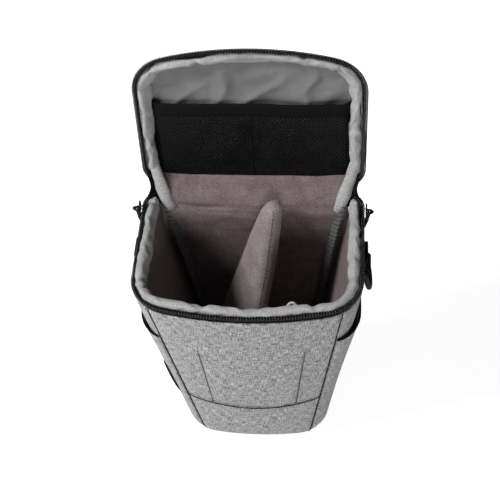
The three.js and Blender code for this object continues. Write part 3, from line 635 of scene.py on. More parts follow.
MATERIALS = {
    "shell_cloth": heather_cloth(),
    "velour": velour("taupe_velour", 78, 140, (1.2, 0.935, 0.955)),
    "lip_velour": velour("pale_velour", 138, 205, (1.0, 0.98, 0.98)),
    "nylon_lining": nylon("pale_nylon", 106, 132),
    "black_webbing": webbing(),
    "mesh": plain("mesh_thread", 10, 0.6, specular=0.15),
    "cord": plain("pale_cord", 200, 0.9, (1.0, 0.98, 0.94)),
    "zip_nylon": plain("zip_coil", 28, 0.25),
    "dark_metal": plain("black_metal", 16, 0.45, metallic=0.4),
}
# Finishes of single pieces, in place of that of their slot
# Grey for the pleat lines: painted shadow of the pleats' folds
PLEAT_SHADOW_GREY = plain("pleat_shadow_paint", 88, 0.9, specular=0.15)
# Darker nylon for the corner tapes: painted shade of the deep back corners
NYLON_WITH_CORNER_SHADE = nylon("nylon_with_painted_corner_shade", 68, 92)
# Lighter velour for the divider: painted light where it stands out into the lamps
DIVIDER_PAINTED_LIGHT_VELOUR = velour("divider_painted_light_velour", 100, 172, (1.13, 0.955, 0.955))


# Body shell


def lower_seam(place):
    """Height of the curved seam low on the front."""
    out = min(abs(place) / SIDE_SEAM, 1)
    return mix(0.067, 0.085, out * out)


def bottom_edge(place):
    return 0.0


def top_seam(place):
    return SEAM_Z


def shell_panel(name, start, end, low, high, seed, puff):
    """A cloth panel of the body, rolled in at its seams and slightly full between them."""
    reach = between(start, end)
    tall = high(start) - low(start)

    def point(u, v):
        at = beside(start, u)
        height = mix(low(at), high(at), v / tall)
        depth = max(roll(u), roll(reach - u), roll(v), roll(tall - v))
        full = hump(u / reach, 0.5) * hump(v / tall, 0.5) * smooth(height / 0.025)
        return on_skin(at, height, depth - full * (puff + 0.0006 * waver(u, v, 0.045, seed)))

    bm = cloth_grid(stops(reach, CLOTH_STEP), stops(tall, CLOTH_STEP), point)
    return thicken(make(f"{name}_cloth", bm, "shell_cloth", "body", [f"{name}_panel"]), CLOTH)


PLEAT_TOP = RIM_Z - 0.048


def pleat(across, rise):
    """Place and height on the pleated middle of the front, which reaches across from -1 to 1."""
    x = across * mix(0.0350, 0.0428, rise) + mix(0.0010, 0.0032, rise)
    z = mix(lower_seam(front_place(x, 0.07)) + 2 * GAP, PLEAT_TOP, rise)
    return front_place(x, z), z


def front_pocket():
    """The middle of the front: sewn to the low seam, proud at its pleats, fading out at the top."""
    width = 0.085
    tall = PLEAT_TOP - lower_seam(0)

    def point(u, v):
        rise = v / tall
        at, z = pleat(2 * u / width - 1, rise)
        edge = min(u, width - u)
        proud = mix(0.0034, 0.0010, smooth(rise)) * smooth(edge / 0.0014) * smooth(v / 0.016)
        full = 0.0010 * hump(u / width, 0.7) * hump(rise, 0.6) + 0.0004 * waver(u, v, 0.03, 4)
        turned = max(roll(v), 0.5 * roll(tall - v))
        return around(at, turned - proud - full - 0.0004, z)

    bm = cloth_grid(stops(width, 0.004), stops(tall, CLOTH_STEP), point)
    return thicken(make("front_pleat_cloth", bm, "shell_cloth", "body", ["front_pocket_panel"]), 0.0008)


def slip_pocket(side, sign):
    """A side pocket that gapes at its bound mouth, most towards the front."""
    near = beside(FRONT_SEAM, 0.001)
    far = beside(SIDE_END, -0.001)
    start, end = (near, far) if sign > 0 else (-far, -near)
    reach = between(start, end)
    low = BASE_ROUND + 0.002
    gape = 0.0032 if sign > 0 else 0.0016

    def part(at):
        return (abs(at) - near) / (far - near)

    def mouth(at):
        return RIM_Z - mix(0.046, 0.044, part(at))

    def surface(at, height):
        rise = max((height - low) / (mouth(at) - low), 0)
        return -0.0015 - gape * hump(part(at) ** 0.62, 0.8) * rise**3

    def cloth(u, v):
        at = beside(start, u)
        height = mix(low, mouth(at) - 0.001, v / tall)
        depth = surface(at, height) + max(roll(u), roll(reach - u), roll(v))
        return around(at, depth - 0.0007 * waver(u, v, 0.05, 5 + sign) * hump(u / reach), height)

    tall = mouth(near) - low
    bm = cloth_grid(stops(reach, CLOTH_STEP), stops(tall, CLOTH_STEP), cloth)
    pocket = make(f"{side}_slip_pocket", bm, "shell_cloth", "body", [f"{side}_pocket_panel"])
    thicken(pocket, 0.0011)

    # The binding's section in millimetres: up from the mouth, and inward
    fold = [(-1.4, -0.2), (-0.8, -0.4), (0, -0.2), (0.3, 0.4), (0, 1.0), (-0.7, 1.3), (-1.4, 1.1)]
    fold.append(fold[0])

    def edge(u, k):
        at = beside(start, u)
        rise, inward = fold[k]
        height = mouth(at) + rise * MM
        return around(at, surface(at, min(height, mouth(at))) + inward * MM, height)

    bm = cloth_grid(stops(reach, CLOTH_STEP, fine=False), range(len(fold)), edge, weld=True)
    return make(f"{side}_pocket_edge", close_ends(bm), "black_webbing", "body", [f"{side}_pocket_binding"])


def disc(name, node, ring, crown, slot, body, thickness, upward=True, carry=None):
    """A round panel inside a closed ring of the outline, raised in its middle."""
    centre = Vector((0, (ring(0).y + ring(1).y) / 2, ring(0).z))
    parts = [0, 0.15, 0.3, 0.45, 0.6, 0.72, 0.82, 0.9, 0.95, 0.98, 0.992, 1.0]
    facing = 1 if upward else -1

    def point(place, t):
        rim = ring(place)
        at = mix(centre, rim, t)
        away = (rim - centre).length * (1 - t)
        at.z += crown * (1 - t**2) - facing * roll(away)
        return at

    bm = cloth_grid(all_round(120), parts, point, flip=upward, weld=True, flat=lambda p: (p.x, p.y))
    if carry:
        carry(bm)
    return thicken(make(name, bm, slot, body, [node]), thickness)


def seam_threads_and_painted_shade():
    """Dark thread in the shell's seams, partly seam thread and partly painted shade of their valleys, and
    grey painted shadow along the pleats.
    """
    steps = shares(60)
    front = [mix(-FRONT_SEAM, FRONT_SEAM, t) for t in steps]
    # Dark thread in the seam valleys: partly seam thread, partly painted shade of the valleys
    lines = [[on_skin(p, lower_seam(p) - 0.0014, -0.0008) for p in front]]
    folds = []
    for _, sign in SIDES:
        for seam in (FRONT_SEAM, BACK_SEAM):
            lines.append([on_skin(sign * seam, mix(0.003, SEAM_Z, t), -0.0001) for t in steps])
        # Grey lines along both edges of each pleat: painted shadow of the folds
        places = [pleat(sign * 1.01, 0.95 * t) for t in steps]
        folds.append([around(at, -0.0020, z) for at, z in places])
    tube("shell_seam_threads", lines, 0.0004, "mesh", "body")
    tube("pleat_shadow_lines", folds, 0.0004, "mesh", "body", finish=PLEAT_SHADOW_GREY)


def body_shell():
    seam_threads_and_painted_shade()
    for name, start, end, low, high, seed, puff in (
        ("front", -FRONT_SEAM, FRONT_SEAM, lower_seam, top_seam, 1, 0.0012),
        ("front_lower", -FRONT_SEAM, FRONT_SEAM, bottom_edge, lower_seam, 2, 0.002),
        ("left_side", -BACK_SEAM, -FRONT_SEAM, bottom_edge, top_seam, 3, 0),
        ("right_side", FRONT_SEAM, BACK_SEAM, bottom_edge, top_seam, 4, 0),
        ("back", BACK_SEAM, 2 - BACK_SEAM, bottom_edge, top_seam, 5, 0),
    ):
        shell_panel(name, start, end, low, high, seed, puff)
    front_pocket()
    for side, sign in SIDES:
        slip_pocket(side, sign)
    disc(
        "bottom_cloth", "bottom_panel", lambda p: around(p, BASE_ROUND, 0.0), 0.0,
        "shell_cloth", "body", CLOTH, upward=False,
    )


# Inside of the body


WALL_END = 0.845


def wall_lining(wall, start, end, depth, seed):
    """A padded velour wall, pulled back at its seams."""
    reach = between(start, end)
    low = FLOOR_TOP - 0.002
    tall = RIM_Z - 0.0115 - low

    def point(u, v):
        ends = max(roll(u, 0.0035, 0.006), roll(reach - u, 0.0035, 0.006))
        inward = depth - max(ends, roll(v), roll(tall - v, 0.003, 0.005))
        inward += 0.0012 * hump(u / reach, 0.6) + 0.0012 * waver(u, v, 0.05, seed)
        sway = 0.0016 * waver(u, 0, 0.04, seed) * smooth(v / tall)
        return around(beside(start, u), inward, low + v + sway)

    bm = cloth_grid(stops(reach, CLOTH_STEP), stops(tall, 0.006), point, flip=True)
    pad = make(f"{wall}_wall_velour", bm, "velour", "body", [f"{wall}_wall_pad"])
    thicken(pad, depth - 0.0035)
    return pad


def corner_binding(side, sign):
    """The bound edge of the lining in a back corner, gathered along its length."""
    low = FLOOR_TOP + 0.0006
    tall = RIM_Z - 0.007 - low
    half = 0.0042
    pitch = 0.0046

    def point(turn, v):
        angle = math.pi * turn
        rise = v / tall
        gather = 1 + 0.5 * math.sin(v / pitch * 2 * math.pi + 2 * waver(0, v, 0.02, sign))
        wander = 0.001 * waver(0, v, 0.05, 3 + sign)
        width = half * mix(1, 1.2, smooth((rise - 0.6) / 0.4))
        at = beside(sign * mix(0.862, 0.832, rise), 2.2 * (wander - width * math.cos(angle)))
        proud = 0.0042 * math.sin(angle) * gather
        inward = mix(BACK_PAD_DEPTH + 0.0004, 0.0085, smooth((rise - 0.88) / 0.12))
        return around(at, inward + proud, low + v)

    bm = cloth_grid(shares(10), stops(tall, 0.0008, fine=False), point, flip=True)
    node = f"{side}_corner_binding"
    # Its darker nylon is painted shade of the deep back corner
    return thicken(make(f"{side}_corner_tape", bm, "nylon_lining", "body", [node], NYLON_WITH_CORNER_SHADE), 0.0008)


def body_inside():
    cushion = disc(
        "floor_cushion", "floor_pad", lambda p: around(p, PAD_DEPTH + 0.0004, FLOOR_TOP), 0.002,
        "velour", "body", 0.008,
    )
    wall_lining("front", -SIDE_SEAM, SIDE_SEAM, PAD_DEPTH, 11)
    wall_lining("left", -WALL_END, -SIDE_SEAM, PAD_DEPTH, 12)
    wall_lining("right", SIDE_SEAM, WALL_END, PAD_DEPTH, 13)
    wall_lining("back", WALL_END, 2 - WALL_END, BACK_PAD_DEPTH, 14)
    for side, sign in SIDES:
        corner_binding(side, sign)
    pull_loop()


def pull_loop():
    """A small loop of pale cord on the front lining."""
    low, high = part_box("inner_pull_loop")
    radius = (high.z - low.z) / 2
    foot = Vector((low.x + radius, low.y - 0.002, high.z + 0.010))
    right = Vector((high.x - low.x - 2 * radius, 0, 0))
    bend = Vector((-0.0005, 0.0075, 0.0040))
    tip = Vector((right.x / 2, 0.0105, 0.0065))
    back = Vector((-bend.x, bend.y, bend.z))
    line = smooth_line([foot, foot + bend, foot + tip, foot + right + back, foot + right], 0.001)
    return tube("front_cord_loop", [line], radius, "cord", "body", ["inner_pull_loop"], roundness=4)


# Zip and padded lips. A height below the rim on the body is the same height above it on the lid.


def zip_half(body, up):
    """One side of the zip: its tape, and a coil of nylon wire along the tape's edge."""
    heights = [0.0175, 0.014, 0.011, 0.008, 0.005, 0.0025, 0.0012]

    def level(height):
        return RIM_Z + height if up else RIM_Z - height

    def point(u, height):
        sway = 0.0003 * waver(u, height, 0.02, 6)
        depth = 0.0021 + 0.0006 * smooth((height - 0.006) / 0.006) + sway
        return around(beside(-BACK_START, u), depth, level(height))

    bm = cloth_grid(stops(between(-BACK_START, BACK_START), 0.004, fine=False), heights, point, flip=up)
    if up:
        opened(bm)
    tape = make(f"{body}_zip_cloth", bm, "black_webbing", body, [f"{body}_zip_tape"])
    thicken(tape, 0.0007, 0.0)

    pitch = 0.0022
    per_turn = 9
    middle = 0.0021
    line = []
    for i, at in enumerate(even_places(-BACK_START, BACK_START, level(middle), pitch / per_turn)):
        turn = 2 * math.pi * i / per_turn
        co = around(at, 0.0023 - 0.0017 * math.cos(turn), level(middle - 0.0011 * math.sin(turn)))
        line.append(OPEN @ co if up else co)
    return tube(f"{body}_zip_coil", [line], 0.0006, "zip_nylon", body, [f"{body}_zip_chain"])


LIPS = {
    # The crest's depth, half width, half height and drop, then the inner seam's depth and drop
    "body": (0.0084, 0.0046, 0.0062, -0.0020, 0.0095, 0.0140),
    "lid": (0.0086, 0.0044, 0.0064, 0.0008, 0.0092, 0.0176),
}
LIP_END = 0.79
# Places where the lips are pinched
PINCHES = {"body": (-0.405, -0.36, -0.12, 0.2, 0.43), "lid": (-0.41, -0.31, -0.15, 0.27, 0.4, 0.46)}


def lip_profile(shape, t):
    """The padded lip's section from the zip over its crest to the lining: depth and drop from the rim."""
    middle, across, tall, crest, foot_depth, foot_drop = shape
    bend = 0.74
    turn = math.radians(mix(200, -28, min(t / bend, 1)))
    depth = middle + across * math.cos(turn)
    drop = tall + crest - tall * math.sin(turn)
    rest = max((t - bend) / (1 - bend), 0)
    return mix(depth, foot_depth, rest), mix(drop, foot_drop, rest)


def padded_lip(name, node, body, up):
    """A velour roll round the mouth, sewn along both edges, full between them, pinched in places."""
    reach = between(-LIP_END, LIP_END)
    shape = LIPS[body]
    us = stops(reach, 0.0025, fine=False)
    vs = shares(16)
    pinches = [between(-LIP_END, p) for p in PINCHES[body]]

    def point(u, t):
        depth, drop = lip_profile(shape, t)
        tuck = smooth(min(u, reach - u) / 0.008)
        nip = max(math.exp(-(((u - at) / 0.0028) ** 2)) for at in pinches)
        full = mix(0.6, 1, tuck) * (1 - 0.27 * nip)
        depth = mix(0.0045, depth, full)
        drop = mix(0.006, drop, full)
        crest = hump(t / 0.9)
        lumps = 0.0012 * waver(u, 0, 0.034, 21 + up) + 0.0006 * waver(u, t * 0.03, 0.009, 23 + up)
        z = RIM_Z + drop if up else RIM_Z - drop
        return around(beside(-LIP_END, u), depth + crest * lumps, z)

    obj = as_object(name, cloth_grid(us, vs, point, flip=up))
    swell(obj, border(len(us), len(vs)), 4.0, 0.05, 0.0014)
    for vert in obj.data.vertices:
        vert.co.z = max(vert.co.z, RIM_Z + 0.0004) if up else min(vert.co.z, RIM_Z + 0.0024)
    if up:
        obj.data.transform(OPEN)
    settle(obj, "lip_velour", body, [node])
    thicken(obj, 0.001)
    soften(obj)
    return obj


def lip_tail(side, sign):
    """The end of the lid's lip: a tongue that tapers down into the body's back corner."""
    # Its middle line on the right side, with half its width
    path = [
        ((0.0834, 0.0625, 0.2490), 0.0034),
        ((0.0820, 0.0590, 0.2405), 0.0052),
        ((0.0796, 0.0545, 0.2320), 0.0058),
        ((0.0763, 0.0485, 0.2240), 0.0058),
        ((0.0725, 0.0430, 0.2155), 0.0054),
        ((0.0690, 0.0412, 0.2085), 0.0048),
        ((0.0668, 0.0455, 0.2010), 0.0040),
    ]
    middle = smooth_line([Vector((sign * x, y, z)) for (x, y, z), _ in path], 0.002)
    widths = smooth_line([Vector((r, 0, 0)) for _, r in path], 0.002 * path[0][1])
    steps = len(middle)

    def point(i, k):
        along = (middle[min(i + 1, steps - 1)] - middle[max(i - 1, 0)]).normalized()
        out = Vector((0, -0.8, 0.6))
        out = (out - along * out.dot(along)).normalized()
        side_way = along.cross(out)
        width = widths[round(i / (steps - 1) * (len(widths) - 1))].x
        turn = 2 * math.pi * k / 12
        ripple = 1 + 0.12 * waver(i * 0.002, k * 0.002, 0.006, 27 + sign)
        return middle[i] + ripple * width * (side_way * math.cos(turn) + 0.7 * out * math.sin(turn))

    bm = cloth_grid(range(steps), range(13), point, weld=True)
    obj = make(f"{side}_lip_tail", close_ends(bm), "lip_velour", None)
    soften(obj)
    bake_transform(obj)
    return obj


def zip_end_tab(side, sign):
    """Black tape folded over the end of the zip."""
    middle = sign * mix(SIDE_END, BACK_START, 0.87)
    width = 0.008
    tall = 0.012

    def point(u, v):
        turned = 0.5 * max(roll(v), roll(tall - v))
        return around(beside(middle, u - width / 2), turned - 0.0012, RIM_Z - 0.017 + v)

    bm = cloth_grid(stops(width, 0.002), stops(tall, 0.003), point)
    tab = make(f"{side}_zip_end_tape", bm, "black_webbing", "body", [f"{side}_zip_end_tab"])
    return thicken(tab, 0.001)


def hinge_gusset(side, sign):
    """The fan of black tape that joins the two ends of the zip across the hinge corner."""
    start, end = sorted((sign * 0.735, sign * 0.815))

    def point(u, v):
        at = beside(start, u)
        # The lid's corner is rounder than the body's
        rim = mix(around(at, 0.0034, RIM_Z), around(at, 0.0034, RIM_Z + 0.0001), v)
        arm = rim - HINGE
        arm.x = 0
        fold = 1 - 0.3 * hump(v)
        turned = Matrix.Rotation(-OPEN_ANGLE * v, 3, "X") @ (arm * fold)
        return Vector((rim.x - sign * 0.003 * hump(v), HINGE.y + turned.y, HINGE.z + turned.z))

    bm = cloth_grid(stops(between(start, end), 0.002, fine=False), shares(12), point)
    obj = make(f"{side}_hinge_gusset", bm, "black_webbing", None)
    thicken(obj, 0.0008, 0.0)
    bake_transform(obj)
    return obj


def rim_trim():
    zip_half("body", False)
    zip_half("lid", True)
    padded_lip("body_lip_roll", "rim_lip", "body", False)
    padded_lip("lid_lip_roll", "lid_lip", "lid", True)
    for side, sign in SIDES:
        zip_end_tab(side, sign)
        hinge_gusset(side, sign)
        lip_tail(side, sign)


# Lid


def lid_shell():
    """The lid's band from the zip up over its rounded edge, and its top."""
    heights = [SEAM_DROP + s for s in EDGE_STOPS] + [0.0135, 0.0157]
    heights += [0.018 + LID_ROUND * t for t in shares(8)]

    def band(place, height):
        depth = max(roll(height - SEAM_DROP), roll((LID_HEIGHT - height) * 1.2))
        depth += 0.0024 * (1 - smooth((height - 0.011) / 0.010))
        return on_lid(place, height, depth - 0.0006 * hump((height - SEAM_DROP) / 0.018, 0.7))

    bm = opened(cloth_grid(all_round(160), heights, band, weld=True))
    thicken(make("lid_band_cloth", bm, "shell_cloth", "lid", ["lid_side_band"]), CLOTH)
    disc(
        "lid_top_cloth", "lid_top_panel", lambda p: around(p, LID_ROUND, RIM_Z + LID_HEIGHT), LID_CROWN,
        "shell_cloth", "lid", CLOTH, carry=opened,
    )


def lid_tray(u, v):
    """A point of the tray inside the lid's lip, from -1 to 1 both ways, on the closed lid."""
    out = max(abs(u), abs(v), 1e-6)
    if abs(u) >= abs(v):
        at = math.copysign(mix(SIDE_SEAM, BACK_SEAM, (v / out + 1) / 2), u)
    elif v < 0:
        at = u / out * SIDE_SEAM
    else:
        at = 1 - u / out * (1 - BACK_SEAM)
    level = RIM_Z + LID_CEILING + GAP
    centre = Vector((0, (around(0, LIP_INNER, level).y + BACK_Y - LIP_INNER) / 2, level))
    return mix(centre, around(at, LIP_INNER - 0.0045, level), out)


def lid_lining():
    """Thin nylon over the lid's pad, sewn down all round and loose in between."""
    us = all_round(56)
    vs = all_round(44)

    def point(u, v):
        at = lid_tray(u, v)
        loose = (1 - u**4) * (1 - v**4)
        ridge = 1 - abs(waver(at.x * 0.75 + at.y, (at.y - at.x) * 0.3, 0.022, 31))
        at.z -= loose * (0.0006 + 0.0032 * ridge**4)
        return at

    obj = as_object("lid_nylon", cloth_grid(us, vs, point, flip=True))
    swell(obj, border(len(us), len(vs)), 0.6, 0.03, 0.003)
    obj.data.transform(OPEN)
    settle(obj, "nylon_lining", "lid", ["lid_lining"])
    thicken(obj, 0.0005)
    soften(obj)
    return obj


MESH_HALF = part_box("lid_mesh_pocket")[1].x + 0.0065
MESH_NEAR = BACK_Y - 0.0020
MESH_OPEN = BACK_Y - 0.0836
MESH_FAR = MESH_OPEN + 0.011


def mesh_point(x, y):
    """The mesh pocket's face on the closed lid: two full halves either side of a sewn middle line."""
    lift = mix(0.0024, 0.008, (MESH_NEAR - y) / (MESH_NEAR - MESH_OPEN))
    full = 0.0022 * hump(abs(x) / MESH_HALF, 0.8) * hump((MESH_NEAR - y) / 0.08, 0.8)
    down = smooth(min(MESH_HALF - abs(x), MESH_NEAR - y) / 0.007)
    pucker = 0.0006 * waver(x, y, 0.016, 8)
    drop = (lift + full + pucker) * down + 0.0006
    return Vector((x, y, RIM_Z + LID_CEILING - drop))


def lid_net():
    """A real net of diamonds, cut to the pocket's outline."""
    pitch = 0.0021
    side = 2 * MESH_HALF * 1.2
    count = round(side / pitch)
    bm = bmesh.new()
    bmesh.ops.create_grid(bm, x_segments=count, y_segments=count, size=side / 2)
    turn = Matrix.Rotation(math.radians(45), 3, "Z")
    bmesh.ops.rotate(bm, verts=bm.verts, cent=(0, 0, 0), matrix=turn)
    bmesh.ops.translate(bm, verts=bm.verts, vec=(0, (MESH_NEAR + MESH_FAR) / 2, 0))
    for at, out in (
        ((MESH_HALF, 0, 0), (1, 0, 0)),
        ((-MESH_HALF, 0, 0), (-1, 0, 0)),
        ((0, MESH_NEAR, 0), (0, 1, 0)),
        ((0, MESH_FAR, 0), (0, -1, 0)),
    ):
        parts = bm.verts[:] + bm.edges[:] + bm.faces[:]
        bmesh.ops.bisect_plane(bm, geom=parts, plane_co=at, plane_no=out, clear_outer=True)
    holes = [face for face in bm.faces if len(face.verts) == 4 and face.calc_area() > 0.9 * pitch**2]
    bmesh.ops.inset_individual(bm, faces=holes, thickness=pitch * 0.34)
    bmesh.ops.delete(bm, geom=holes, context="FACES")
    for vert in bm.verts:
        vert.co = mesh_point(vert.co.x, vert.co.y)
    bmesh.ops.reverse_faces(bm, faces=bm.faces)
    return thicken(make("lid_mesh_net", opened(bm), "mesh", "lid", ["lid_mesh_pocket"]), 0.0006, 0.0)


def mesh_edge(us):
    """Tape folded over the free edge of the net."""
    # Its section in millimetres: towards the hinge, and up to the closed lid
    fold = [(0, -0.3), (-0.2, -1.1), (-2, -1.3), (-9, -1.3), (-11, -1.2), (-11.5, -0.3)]
    fold += [(-11, 0.5), (-9, 0.7), (-2, 0.7), (-0.2, 0.5), fold[0]]

    def point(u, k):
        along, up = fold[k]
        x = u - MESH_HALF
        z = mesh_point(x, MESH_FAR + 0.001).z
        sag = 0.0006 * waver(x, 0, 0.03, 9)
        return Vector((x, MESH_FAR + along * MM + sag, z + up * MM - along * 0.00004))

    bm = close_ends(cloth_grid(us, range(len(fold)), point, weld=True))
    return make("lid_mesh_edge", opened(bm), "black_webbing", "lid", ["lid_mesh_binding"])


def mesh_stitches(us):
    """Threads down the middle of the net and along its tape."""
    out = OPEN_TURN @ Vector((0, 0, -1))
    lift = out * 0.0005
    steps = 24
    lines = []
    for i in range(steps):
        a, b = (OPEN @ mesh_point(0, mix(MESH_NEAR, MESH_FAR, (i + t) / steps)) for t in (0.12, 0.88))
        lines.append([a, mix(a, b, 0.3) + lift, mix(a, b, 0.7) + lift, b])
    row = []
    for u in us[1:-1]:
        x = u - MESH_HALF
        row.append(OPEN @ Vector((x, MESH_FAR - 0.0012, mesh_point(x, MESH_FAR + 0.001).z - 0.0014)))
    for a, b in zip(row, row[1:]):
        lines += stitch_line(a, b, out, 0.0021, 0.0014)
    return tube("lid_mesh_seam", lines, 0.0004, "mesh", "lid")


def lid_mesh():
    lid_net()
    us = stops(2 * MESH_HALF, 0.004, fine=False)
    mesh_edge(us)
    mesh_stitches(us)


def carry_handle():
    """Webbing that arches over the lid's top, sewn down at both ends."""
    z = RIM_Z + LID_HEIGHT + GAP
    y = BACK_Y - 0.0632
    half = 0.042
    rise = 0.015
    points = [
        (-half - 0.016, 0), (-half - 0.006, 0), (-half, 0.0008), (-half * 0.6, rise * 0.8),
        (0, rise), (half * 0.6, rise * 0.8), (half, 0.0008), (half + 0.006, 0), (half + 0.016, 0),
    ]
    arch = smooth_line([Vector((x, y, z + h + 0.0013 + LID_CROWN)) for x, h in points], 0.004)
    across = OPEN_TURN @ Vector((0, 1, 0))
    strap("lid_carry_handle", [OPEN @ p for p in arch], across, 0.024, 0.0024, "lid", "carry_handle")
    box = ((0.014, -0.009), (0.014, 0.009), (0.003, 0.009), (0.003, -0.009))
    lines = []
    for _, sign in SIDES:
        corners = [OPEN @ Vector((sign * (half + a), y + b, z + 0.0046)) for a, b in box]
        lines += stitch_box(corners, OPEN_TURN @ Vector((0, 0, 1)))
    tube("carry_handle_stitches", lines, 0.0003, "black_webbing", "lid")


def foam_block(name, node, body):
    """Foam hidden inside the cloth, with softened edges."""
    low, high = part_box(node)
    bm = soft_box((high - low) * 0.96, (low + high) / 2, 0.001)
    return make(name, bm, "velour", body, [node])


def lid_foam():
    """The lid's flat foam, behind its lining."""
    # Heights above the rim, and how far in the foam is there
    layers = [(0.0145, 0.018), (0.016, 0.0165), (0.0185, 0.0165), (0.021, 0.018)]

    def point(place, layer):
        height, inset = layer
        return around(place, inset, RIM_Z + height)

    bm = opened(close_ends(cloth_grid(all_round(80), layers, point, weld=True)))
    return make("lid_foam", bm, "nylon_lining", "lid", ["lid_top_pad"])


def hinge_velour():
    """Velour over the hinge inside, creased along the fold, bent over the hinge towards the open lid."""
    inner = [
        (0.0425, 0.1600), (0.0402, 0.1760), (0.0386, 0.1880), (0.0378, 0.1970), (0.0380, 0.2040),
        (0.0390, 0.2090), (0.0415, 0.2145), (0.0452, 0.2192), (0.0500, 0.2230), (0.0552, 0.2262),
        (0.0605, 0.2288), (0.0640, 0.2312),
    ]
    line = smooth_line([Vector((0, y, z)) for y, z in inner], 0.0025)
    half = HINGE_HALF + 0.0055

    def point(u, k):
        at = line[k].copy()
        at.x = u - half
        dip = at.z - 0.2085 - 0.003 * waver(at.x, 0, 0.05, 17)
        crease = 0.0022 * math.exp(-((dip / 0.0028) ** 2)) * (0.6 + 0.5 * waver(at.x, 0, 0.03, 18))
        slope = at.z - 0.2100 + 0.13 * (at.x + 0.055)
        crease += 0.0014 * math.exp(-((slope / 0.0022) ** 2)) * smooth((0.02 - at.x) / 0.03)
        crease += 0.0012 * waver(at.x * 0.35, at.z, 0.011, 15) + 0.0008 * waver(at.x, at.z, 0.03, 16)
        rise = k / (len(line) - 1)
        at.y += crease * hump(rise, 0.5)
        scoop = smooth((rise - 0.7) / 0.3) * (1 - 0.6 * (at.x / half) ** 2)
        return at - scoop * Vector((0, 0.0030, 0.0045))

    bm = cloth_grid(stops(2 * half, 0.004), range(len(line)), point)
    obj = make("hinge_velour", bm, "velour", None, ["hinge_lining"])
    thicken(obj, 0.0014)
    soften(obj)
    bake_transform(obj)


def hinge_back():
    """Cloth over the hinge outside, bent from the back up to the open lid."""
    up = OPEN_TURN @ Vector((0, 0, 1))
    ends = [HINGE - Vector((0, 0, 0.0085)), HINGE - Vector((0, 0, 0.003))]
    ends += [HINGE + Vector((0, 0.0008, -0.0008)), HINGE + up * 0.003, HINGE + up * 0.0085]
    line = smooth_line(ends, 0.0015)

    def point(u, k):
        at = line[k].copy()
        at.x = u - HINGE_HALF
        return at

    bm = cloth_grid(stops(2 * HINGE_HALF, 0.006), range(len(line)), point, flip=True)
    obj = make("hinge_back_cloth", bm, "shell_cloth", None, ["hinge_outer"])
    thicken(obj, CLOTH)
    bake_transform(obj)


# Divider


def divider():
    """A boxed padded tongue that leans across the mouth from the back wall."""
    wall = BACK_Y - BACK_PAD_DEPTH - GAP
    foot_z = 0.145
    low = -0.069
    top = 0.0855
    half = 0.0055
    boxed = 0.72
    turn = math.radians(26)
    lean = Matrix.Translation((-0.010, wall, foot_z)) @ Matrix.Rotation(math.radians(18.5), 4, "Y")
    swing = Matrix.Translation((0, -0.0018 - half * math.sin(turn), 0)) @ Matrix.Rotation(turn, 4, "Z")
    stand = lean @ swing
    outline = [
        (0, low), (0, top - 0.003), (-0.0025, top), (-0.0105, top - 0.0022), (-0.0160, top - 0.011),
        (-0.0235, top - 0.028), (-0.0345, top - 0.055), (-0.049, low + 0.0535), (-0.0575, low + 0.024),
        (-0.0585, low + 0.008), (-0.052, low + 0.0008), (-0.040, low),
    ]
    corners = [Vector((0, y, z)) for y, z in outline]
    curved = smooth_line(corners[1:], 0.004)
    bottom = [mix(corners[-1], corners[0], t) for t in shares(10)[1:]]
    back = [mix(corners[0], corners[1], t) for t in shares(32)[1:-1]]
    loop = curved + bottom + back
    loop.append(loop[0])
    spine_top = Vector((0, -0.006, 0.048))
    spine_foot = Vector((0, -0.026, -0.052))
    # How far in from the edge, and how full there
    faces = [(1.0, 1.0), (0.72, 0.98), (0.45, 0.9), (0.24, 0.72), (0.1, 0.48), (0.035, 0.2), (0.0, 0.0)]
    # From the middle of the left face over the edge strip to the middle of the right face
    profile = [(inset, -1, full, 0.0) for inset, full in faces]
    profile += [(0.0, across, 0.0, 0.0009 * (1 - across**2)) for across in (-0.75, -0.4, 0.0, 0.4, 0.75)]
    profile += [(inset, 1, full, 0.0) for inset, full in reversed(faces)]

    def point(i, k):
        inset, across, full, out = profile[k]
        edge = loop[i]
        t = min(max((spine_top.z - edge.z) / (spine_top.z - spine_foot.z), 0), 1)
        if inset == 1.0:
            # The two sides of a face meet in the same points along its spine
            t = round(t * 12) / 12
        heart = mix(spine_top, spine_foot, t)
        co = mix(edge, heart, inset) + (edge - heart).normalized() * out
        co.x = across * half * boxed + full * (-0.0066 if across < 0 else 0.0034)
        return co

    bm = cloth_grid(range(len(loop)), range(len(profile)), point, weld=True)
    bmesh.ops.recalc_face_normals(bm, faces=bm.faces)
    obj = as_object("divider_cushion", bm)
    obj.data.transform(stand)
    # The divider's lighter velour is painted light on its faces
    settle(obj, "velour", "divider", ["divider_pad"], DIVIDER_PAINTED_LIGHT_VELOUR)
    soften(obj)

    seam = [stand @ Vector((-half * boxed, p.y, p.z)) for p in curved[4:]]
    lift = stand.to_3x3() @ Vector((-1, 0, 0)) * 0.0004
    lines = [[mix(a, b, 0.15), mix(a, b, 0.5) + lift, mix(a, b, 0.85)] for a, b in zip(seam, seam[1:])]
    tube("divider_stitches", lines, 0.00022, "mesh", "divider")

    tape_low = low + 0.005
    tape_high = WALL_TOP - foot_z - 0.010
    size = (0.010, 0.0015, tape_high - tape_low)
    bm = soft_box(size, (0, -0.00075, (tape_low + tape_high) / 2), 0.0005)
    bmesh.ops.transform(bm, matrix=lean, verts=bm.verts)
    make("divider_hook_tape", bm, "velour", "divider", ["divider_hook_strip"])


# Strap rings, tag and belt loop


